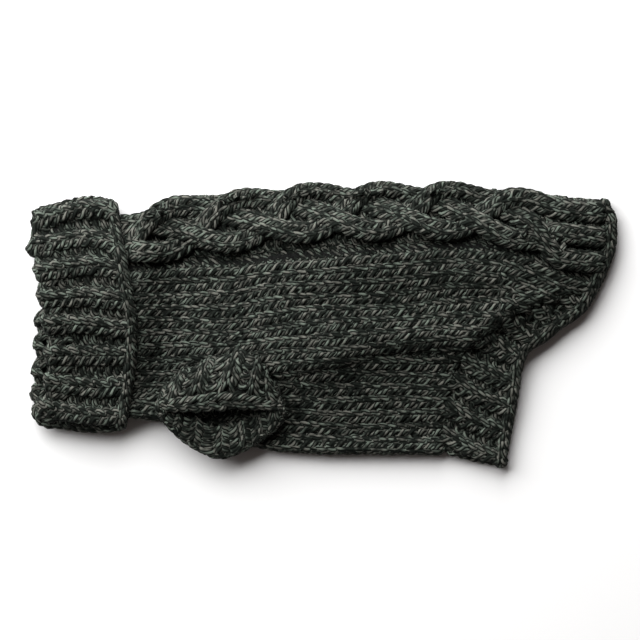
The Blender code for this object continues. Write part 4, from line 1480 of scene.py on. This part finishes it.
@dataclass
class BackPanel(Piece):
    """The back, with the plait along the spine."""

    node: str = "back"
    slot: str = "charcoal_stocking_stitch"
    cut: Cut = Cut(0.23, 0.275, 0.048)
    rests_on: tuple[str, ...] = ("belly",)
    gauge: Gauge = Gauge()
    ground_gauge: Gauge = Gauge(depth=3.1)
    plait_gauge: Gauge = Gauge(wale=6.5, swing=2.05, depth=2.4, hand=STRAIGHT)
    ground_wales: int = 7
    rolled: float = 4.2
    rolled_from: float = -0.65
    rolled_over: float = 0.45
    pulled: float = 4.0
    pulled_from: float = -0.5
    pulled_over: float = 0.5
    lean_from: float = -2.5
    trough_depth: float = 3.2
    trough_width: float = 24.0
    trough_rise: float = 3.0
    trough_fall: float = 8.0
    trough_share: float = 1.3
    spine_line: float = 0.55
    ground_reach: float = 0.6

    @property
    def rows(self) -> int:
        """Number of courses from the neck to the tail."""
        return int((self.body.tail_x - self.body.neck_x) / self.gauge.row)

    def lower_edge(self, x: Array) -> Array:
        """Y of the near side seam, or of the slanted tail end."""
        return np.where(x < CORNER_X, SIDE_SEAM(x) + self.body.opening(x), SLANTED_END(x))

    def past(self, a: Array, b: Array) -> Array:
        """How far past the tail end."""
        return a - self.body.tail_x

    def wale_line(self, a: Array, s: Array) -> Array:
        """Place of wale s; those below the plait count down from 0, and the first is pulled."""
        pull = self.pulled * ease((s - self.pulled_from) / self.pulled_over)
        return GUTTER(a) + self.gauge.wale * s + pull

    def near_wales(self, a: float) -> tuple[int, int]:
        """Wales between the near side seam and the plait."""
        return int(np.floor((self.lower_edge(a) - GUTTER(a)) / self.gauge.wale)), 0

    def near_limits(self, a: Array) -> tuple[Array, Array]:
        """Where the near side's stocking stitch ends, at the seam only."""
        return self.lower_edge(a), np.full_like(a, FAR)

    def roll(self, a: Array, s: Array) -> Array:
        """The first wale rolls down into the gutter under the plait."""
        return -self.rolled * ease((s - self.rolled_from) / self.rolled_over)

    def lean(self, a: Array, s: Array) -> Array:
        """How far a course leans to stay square to the wales where they bend down."""
        slope = (GUTTER(a + 1.0) - GUTTER(a - 1.0)) / 2.0
        return -slope * self.gauge.wale * np.maximum(s, self.lean_from)

    def trough(self, a: Array, b: Array) -> Array:
        """How much deeper the cloth lies beside and under the plait.

        Args:
            a: Where along the plait.
            b: Where across it.

        Returns:
            The depth at each place.
        """
        over = b - GUTTER(a)
        across = ease(over / self.trough_rise) * ease((self.trough_width - over) / self.trough_fall)
        return self.trough_depth * across

    def spine_limits(self, a: Array) -> tuple[Array, Array]:
        """How far the purl ground goes over the spine."""
        over = self.ground_reach * self.body.arc(a, Fold.SPINE)
        return np.full_like(a, -FAR), self.body.top(a) + over

    def far_line(self, a: Array, s: Array) -> Array:
        """Place of wale s on the far side, counted from the outermost line of the spine."""
        outermost = self.body.top(a) + self.body.arc(a, Fold.SPINE) * self.spine_line
        return outermost + self.gauge.wale * s

    def far_limits(self, a: Array) -> tuple[Array, Array]:
        """Where the far side of the back begins and ends.

        Args:
            a: Where along the back.

        Returns:
            The two limits at each a.
        """
        top = self.body.top(a)
        high = top + self.body.arc(a, Fold.SPINE) + (top - self.lower_edge(a))
        return np.full_like(a, -FAR), high

    def far_wales(self, a: float) -> tuple[int, int]:
        """Wales between the spine and the far side seam."""
        width = self.far_limits(a)[1] - self.far_line(a, 0.0)
        return 0, int(np.ceil(width / self.gauge.wale))

    def knitted(self) -> list[bpy.types.Object]:
        """Knit the near side, the ground under the plait, its strands and the far side.

        Returns:
            The objects.
        """
        body, rows = self.body, self.rows
        made = [
            self.knit("stocking_stitch", FINE, 11, Knitting(
                body.point, self.gauge, body.tail_x, rows, self.wale_line, self.near_wales,
                limits=self.near_limits, past=self.past, relief=self.roll, lean=self.lean)),
            self.knit("purl_ground", PLAIN, 12, Knitting(
                body.point, self.ground_gauge, body.tail_x, rows, self.wale_line,
                always(0, self.ground_wales), pattern=Pattern.PURL, limits=self.spine_limits,
                past=self.past, relief=lambda a, s: -self.trough(a, self.wale_line(a, s))))]
        for strand in range(3):
            made.append(self.knit(f"plait_strand_{strand + 1}", FINE, 13 + strand, Knitting(
                PlaitStrand(body, strand).point, self.plait_gauge, body.tail_x, rows,
                lambda a, s: self.plait_gauge.wale * s, always(-1, 1), past=self.past,
                draw_in=SUNK)))
        made.append(self.knit("far_stocking_stitch", PLAIN, 17, Knitting(
            body.point, self.gauge, body.tail_x, rows, self.far_line, self.far_wales,
            limits=self.far_limits, past=self.past)))
        return made

    def cloth(self) -> bpy.types.Object:
        """Lay the cloth between the two side seams.

        Returns:
            The object.
        """
        ends = [  # (share of the way from either seam to the spine, x of the tail end)
            (0.0, CORNER_X), (0.16, 104.0), (0.32, 134.0), (0.48, 152.0), (0.62, 154.0),
            (1.0, 154.0)]
        u = np.linspace(0.0, 1.0, 60)[:, None]
        w = np.linspace(0.0, 1.0, 81)[None, :]
        x_end = np.interp(1.0 - np.abs(2.0 * w - 1.0), *zip(*ends))
        x = self.body.neck_x + u * (x_end - self.body.neck_x)
        low, high = self.lower_edge(x), self.far_limits(x)[1]
        b = low + w * (high - low)
        depth = CLOTH_DEPTH + self.trough_share * self.trough(x, b)
        return self.lay(self.body.point(x, b), depth=depth)


@dataclass
class BellyPanel(Piece):
    """The belly, sewn to the back along both sides."""

    node: str = "belly"
    slot: str = "charcoal_stocking_stitch"
    cut: Cut = Cut(0.125, 0.197, 0.0125)
    rests_on: tuple[str, ...] = ("back",)
    gauge: Gauge = Gauge()
    tail_x: float = 66.0

    def fold_line(self, a: Array) -> Array:
        """The outermost line of the belly fold."""
        return self.body.bottom(a) - self.body.arc(a, Fold.BELLY) / 2.0

    def wale_line(self, a: Array, s: Array) -> Array:
        """Place of wale s, counted up the near side from the fold."""
        return self.fold_line(a) + self.gauge.wale * s

    def limits(self, a: Array) -> tuple[Array, Array]:
        """The far and the near seam."""
        seam = SIDE_SEAM(a) - self.body.opening(a)
        return 2.0 * self.body.bottom(a) - self.body.arc(a, Fold.BELLY) - seam, seam

    def near_wales(self, a: float) -> tuple[int, int]:
        """Wales from the fold up to the near seam."""
        return -1, int(np.ceil((self.limits(a)[1] - self.fold_line(a)) / self.gauge.wale))

    def far_wales(self, a: float) -> tuple[int, int]:
        """Wales from the far seam to the fold."""
        return int(np.floor((self.limits(a)[0] - self.fold_line(a)) / self.gauge.wale)), -1

    def end(self, b: Array) -> Array:
        """X of the panel's tail end.

        Args:
            b: Place round the panel.

        Returns:
            X at each b.
        """
        x = np.full_like(b, self.tail_x)
        far_y = 2.0 * self.body.bottom(x) - self.body.arc(x, Fold.BELLY) - b
        return BELLY_END(np.where(b < self.body.bottom(x), far_y, b))

    def knitted(self) -> list[bpy.types.Object]:
        """Knit the near and the far side.

        Returns:
            The objects.
        """
        rows = int((CORNER_X - self.body.neck_x) / self.gauge.row)
        return [self.knit(part, yarn, seed, Knitting(
                    self.body.point, self.gauge, CORNER_X, rows, self.wale_line, wales,
                    limits=self.limits, past=lambda a, b: a - self.end(b)))
                for part, yarn, seed, wales in (
                    ("stocking_stitch", FINE, 21, self.near_wales),
                    ("far_stocking_stitch", PLAIN, 22, self.far_wales))]

    def cloth(self) -> bpy.types.Object:
        """Lay the cloth between the two side seams.

        Returns:
            The object.
        """
        u = np.linspace(0.0, 1.0, 46)[:, None]
        w = np.linspace(0.0, 1.0, 31)[None, :]
        neck_x = self.body.neck_x
        low, high = self.limits(neck_x + u * (self.tail_x - neck_x) + 0.0 * w)
        x = neck_x + u * (self.end(low + w * (high - low)) - neck_x)
        low, high = self.limits(x)
        return self.lay(self.body.point(x, low + w * (high - low)))


@dataclass
class Collar(Piece):
    """The folded ribbed turtleneck."""

    node: str = "collar"
    cut: Cut = Cut(0.29, 0.08, 0.021)
    rests_on: tuple[str, ...] = ("back",)
    held: str = "folded"
    gauge: Gauge = Gauge(wale=8.075, row=4.7, rise=4.2, swing=2.4, depth=2.5, rib_depth=2.9,
                         knit_share=0.2)
    chain: Gauge = Gauge(wale=4.8, row=5.2, rise=4.6, swing=1.2, depth=2.2, hand=STRAIGHT)
    rows: int = 14
    near_wales: tuple[int, int] = (-17, 3)
    far_wales: tuple[int, int] = (-31, -17)
    first_wale: float = -3.0
    edge_a: float = -2.0
    chain_a: float = -1.6
    chain_dip: float = 2.2
    cloth_from: float = -75.0
    cloth_to: float = -3.0
    flap_from: float = -45.0
    flap_ease: float = 9.0
    flap_depth: float = 5.4
    fold_rib_depth: float = 1.2

    def __post_init__(self) -> None:
        """Lay out the collar's form."""
        self.form = CollarForm(self.body)

    def on_flap(self, a: Array) -> Array:
        """1 over the flat of the flap, 0 from where the fold begins."""
        return ease((a - self.flap_from) / self.flap_ease)

    def shallow(self, a: Array, s: Array) -> Array:
        """How much less deep the purl wales lie round the fold."""
        purl = 0.5 - 0.5 * np.cos(PI * s)
        return (self.gauge.rib_depth - self.fold_rib_depth) * purl * (1.0 - self.on_flap(a))

    def wale_line(self, a: Array, s: Array) -> Array:
        """Place of wale s round the collar."""
        return self.gauge.rib(s) + self.first_wale

    def knitted(self) -> list[bpy.types.Object]:
        """Knit the near and the far side, and cast off.

        Returns:
            The objects.
        """
        made = [self.knit(part, yarn, seed, Knitting(
                    self.form.point, self.gauge, self.edge_a, self.rows, self.wale_line,
                    always(*wales), pattern=Pattern.RIB, relief=self.shallow))
                for part, yarn, seed, wales in (
                    ("ribbing", FINE, 31, self.near_wales),
                    ("far_ribbing", PLAIN, 32, self.far_wales))]
        return made + [self.cast_off(self.form.point, self.chain_a, self.chain, 0.0,
                                     self.form.around, 33, self.chain_dip)]

    def cloth(self) -> bpy.types.Object:
        """Lay the cloth over the flap, round the fold and on to the inner layer.

        Returns:
            The object.
        """
        a = np.linspace(self.cloth_to, self.cloth_from, 34)[::-1][:, None]
        b = np.linspace(0.0, self.form.around, 97)[:-1][None, :]
        grid = self.form.point(a + 0.0 * b, b + 0.0 * a)
        depth = CLOTH_DEPTH + (self.flap_depth - CLOTH_DEPTH) * self.on_flap(a)
        return self.lay(grid, depth=depth, closed=True)


@dataclass
class HemBand(Piece):
    """One ribbed band of the hem, from start_e to end_e of the near side's edge."""

    hem: HemForm = field(kw_only=True)
    start_e: float = field(kw_only=True)
    end_e: float = field(kw_only=True)
    seed: int = field(kw_only=True)
    gauge: Gauge = Gauge(wale=6.9, row=4.84, swing=2.1, depth=2.4, rib_depth=2.3,
                         knit_share=0.32)
    chain: Gauge = Gauge(wale=4.6, row=5.0, rise=4.5, swing=1.2, depth=2.2, hand=STRAIGHT)
    bend: float = 0.006
    part_row: float = 0.9
    tuck: float = 3.0
    tuck_from: float = 0.5
    tuck_end: float = 2.5
    cloth_reach: tuple[float, float] = (0.03, 0.97)
    edge_a: float = -3.6
    chain_a: float = -3.4
    chain_dip: float = 2.0

    def __post_init__(self) -> None:
        """Work out how far the near and the far side go round the hem."""
        arc = self.hem.arc
        if self.end_e < self.hem.length:
            self.near = (-self.end_e, arc / 2.0)
            self.far = (arc / 2.0, arc + self.end_e)
        else:
            self.near = (-(self.end_e + arc / 2.0), -self.start_e)
            self.far = (-(self.end_e + arc + self.end_e - self.start_e), self.near[0])
        self.low = min(self.near[0], self.far[0])
        self.high = max(self.near[1], self.far[1])

    def wale_line(self, a: Array, s: Array) -> Array:
        """Place of wale s, which bends away from the edge."""
        return self.gauge.rib(s) + self.bend * a * a

    def past(self, a: Array, b: Array) -> Array:
        """How far past the end on the body's side."""
        return -a - self.hem.width_at(b)

    def knitted(self) -> list[bpy.types.Object]:
        """Knit the near and the far side, and cast off.

        Returns:
            The objects.
        """
        widest = float(np.max(self.hem.width(np.linspace(self.start_e, self.end_e, 50))))
        rows = int(widest / self.gauge.row + self.part_row)
        made = []
        for part, yarn, seed, (low, high) in (
                ("ribbing", FINE, self.seed, self.near),
                ("far_ribbing", PLAIN, self.seed + 1, self.far)):
            first = int(np.floor(low / self.gauge.wale))
            last = int(np.ceil(high / self.gauge.wale))
            made.append(self.knit(part, yarn, seed, Knitting(
                self.hem.point, self.gauge, self.edge_a, rows, self.wale_line,
                always(first, last), pattern=Pattern.RIB, limits=between(low, high),
                past=self.past, tuck=self.tuck, tuck_from=self.tuck_from, tuck_end=self.tuck_end)))
        return made + [self.cast_off(self.hem.point, self.chain_a, self.chain, self.high,
                                     self.high - self.low, self.seed + 2, self.chain_dip)]

    def cloth(self) -> bpy.types.Object:
        """Lay the cloth from the body to the edge.

        Returns:
            The object.
        """
        t = np.linspace(*self.cloth_reach, 9)[:, None]
        b = np.linspace(self.low, self.high, 61)[None, :] + 0.0 * t
        return self.lay(self.hem.point((t - 1.0) * self.hem.width_at(b), b))


@dataclass
class NearCuff(Piece):
    """The near leg cuff."""

    node: str = "left_leg_cuff"
    cut: Cut = Cut(0.2, 0.026, 0.0031)
    gauge: Gauge = Gauge(wale=6.4, row=4.5, rise=4.0, swing=1.9, depth=1.8, leg_lift=0.85,
                         rib_depth=0.9)
    chain: Gauge = Gauge(wale=4.6, row=5.0, rise=4.5, swing=1.2, depth=1.2)
    wales: int = 26
    rows: int = 5
    rim: float = 4.5
    edge_a: float = -1.0
    chain_a: float = 1.5
    cloth_reach: tuple[float, float] = (0.05, 0.93)
    cloth_depth: float = 1.5

    def __post_init__(self) -> None:
        """Lay out the cuff's form."""
        self.form = CuffForm(self.body)
        self.around = self.wales * self.gauge.wale
        self.length = self.rows * self.gauge.row + self.rim

    def face(self, a: Array, b: Array) -> Array:
        """The cuff's outer face: minus a up from the panel, b round the cuff."""
        return self.form.point(TURN * b / self.around, -a / self.length)

    def knitted(self) -> list[bpy.types.Object]:
        """Knit the cuff, and cast off.

        Returns:
            The objects.
        """
        ribbing = self.knit("ribbing", FINE, 51, Knitting(
            self.face, self.gauge, self.edge_a, self.rows, lambda a, s: self.gauge.wale * s,
            always(0, self.wales), pattern=Pattern.RIB))
        return [ribbing, self.cast_off(self.face, self.chain_a - self.length, self.chain, 0.0,
                                       self.around, 52)]

    def cloth(self) -> bpy.types.Object:
        """Lay the cloth round the cuff.

        Returns:
            The object.
        """
        t = np.linspace(*self.cloth_reach, 9)[::-1][:, None]
        turn = np.linspace(0.0, TURN, 65)[:-1][None, :]
        grid = self.form.point(turn + 0.0 * t, t + 0.0 * turn)
        return self.lay(grid, depth=self.cloth_depth, closed=True)


@dataclass
class FarCuff(Piece):
    """The far leg cuff, pressed flat in its opening."""

    node: str = "right_leg_cuff"
    cut: Cut = Cut(0.052, 0.033, 0.0012)
    rests_on: tuple[str, ...] = ("table",)
    gauge: Gauge = Gauge(wale=6.0, row=4.6, swing=1.6, depth=2.3, rib_depth=0.8)
    wales: tuple[int, int] = (-3, 3)
    rows: int = 10
    middle_b: float = 34.5
    start_x: float = -32.0
    clear: float = 1.2
    least_half: float = 0.3
    sink: float = 0.3
    cloth_x: tuple[float, float] = (-82.0, -31.0)
    cloth_depth: float = 2.6
    cloth_thickness: float = 0.9

    def face(self, a: Array, b: Array) -> Array:
        """The underside: a along X, b towards the belly."""
        return np.stack([a, -b, 0.0 * a], axis=-1)

    def limits(self, a: Array) -> tuple[Array, Array]:
        """The two sides of the leg opening.

        Args:
            a: Where along the opening.

        Returns:
            The two sides at each a.
        """
        middle = SIDE_SEAM(a)
        half = np.maximum(self.body.opening(a) - self.clear, self.least_half)
        return -(middle + half), -(middle - half)

    def knitted(self) -> list[bpy.types.Object]:
        """Knit the cuff.

        Returns:
            The objects.
        """
        return [self.knit("ribbing", PLAIN, 61, Knitting(
            self.face, self.gauge, self.start_x, self.rows,
            lambda a, s: self.middle_b + self.gauge.wale * s, always(*self.wales),
            pattern=Pattern.RIB, limits=self.limits, sink=self.sink))]

    def cloth(self) -> bpy.types.Object:
        """Lay the cloth across the opening.

        Returns:
            The object.
        """
        w = np.linspace(0.0, 1.0, 11)[None, :]
        x = np.linspace(*self.cloth_x, 27)[:, None] + 0.0 * w
        low, high = self.limits(x)
        return self.lay(self.face(x, low + w * (high - low)), depth=self.cloth_depth,
                        thickness=self.cloth_thickness)


# ---------------------------------------------------------------- the studio
@dataclass(frozen=True)
class Studio:
    """A white table, one large soft light on the spine's side, and a camera straight above."""

    table_half: float = 3.0
    white: Colour = colour(0.755, 0.755, 0.755)
    table_roughness: float = 0.7
    light_place: tuple[float, float, float] = (-0.62, 0.96, 0.56)
    light_size: float = 2.1
    light_power: float = 106.0
    air: Colour = colour(1.0, 0.86, 0.80)
    air_strength: float = 0.07
    look_at: tuple[float, float] = (-0.0021, 0.0030)
    camera_height: float = 2.4
    sensor: float = 36.0
    frame_width: float = 0.352
    frame_level: float = 0.008
    clip_end: float = 20.0

    def build(self) -> None:
        """Make the table, the lights and the camera."""
        self.table()
        self.light()
        self.camera()
        bpy.context.scene.view_settings.view_transform = "Standard"

    def table(self) -> None:
        """Lay the table under the sweater."""
        half = self.table_half
        mesh = bpy.data.meshes.new("table")
        mesh.from_pydata([(-half, -half, 0), (half, -half, 0), (half, half, 0), (-half, half, 0)],
                         [], [(0, 1, 2, 3)])
        mesh.materials.append(Graph("white_table").shade(
            {"Base Color": self.white, "Roughness": self.table_roughness}))
        show("table", mesh)

    def light(self) -> None:
        """Hang a square soft light that faces the sweater, in a faintly lit room."""
        lamp = bpy.data.lights.new("key_light", "AREA")
        lamp.size = self.light_size
        lamp.energy = self.light_power
        holder = show("key_light", lamp)
        holder.location = self.light_place
        holder.rotation_euler = (-Vector(self.light_place)).to_track_quat("-Z", "Y").to_euler()
        holder.visible_camera = False
        world = bpy.data.worlds.new("studio")
        world.use_nodes = True
        background = world.node_tree.nodes["Background"]
        background.inputs["Color"].default_value = self.air
        background.inputs["Strength"].default_value = self.air_strength
        bpy.context.scene.world = world

    def camera(self) -> None:
        """Hang the camera, whose frame is frame_width wide at the sweater's level."""
        camera = bpy.data.cameras.new("camera")
        camera.sensor_width = self.sensor
        camera.lens = self.sensor * (self.camera_height - self.frame_level) / self.frame_width
        camera.clip_end = self.clip_end
        holder = show("camera", camera)
        holder.location = (*self.look_at, self.camera_height)
        bpy.context.scene.camera = holder


def main() -> None:
    """Build the sweater and its studio."""
    logging.basicConfig(level=logging.INFO, format="%(message)s")
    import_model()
    body = BodyForm()
    hem = HemForm(body)
    finishes = Finishes(YarnFinish().build(), ShadedGroundFinish().build())
    pieces = [
        BackPanel(finishes, body), BellyPanel(finishes, body), Collar(finishes, body),
        HemBand(finishes, body, node="back_rib", cut=Cut(0.18, 0.036, 0.0023), hem=hem,
                start_e=0.0, end_e=HEM_SEAM - body.seam_gap, seed=41),
        HemBand(finishes, body, node="belly_rib", cut=Cut(0.13, 0.04, 0.0042), hem=hem,
                start_e=HEM_SEAM + body.seam_gap, end_e=hem.length, seed=45),
        NearCuff(finishes, body), FarCuff(finishes, body)]
    for piece in pieces:
        piece.build()
    Studio().build()


if __name__ == "__main__":
    main()
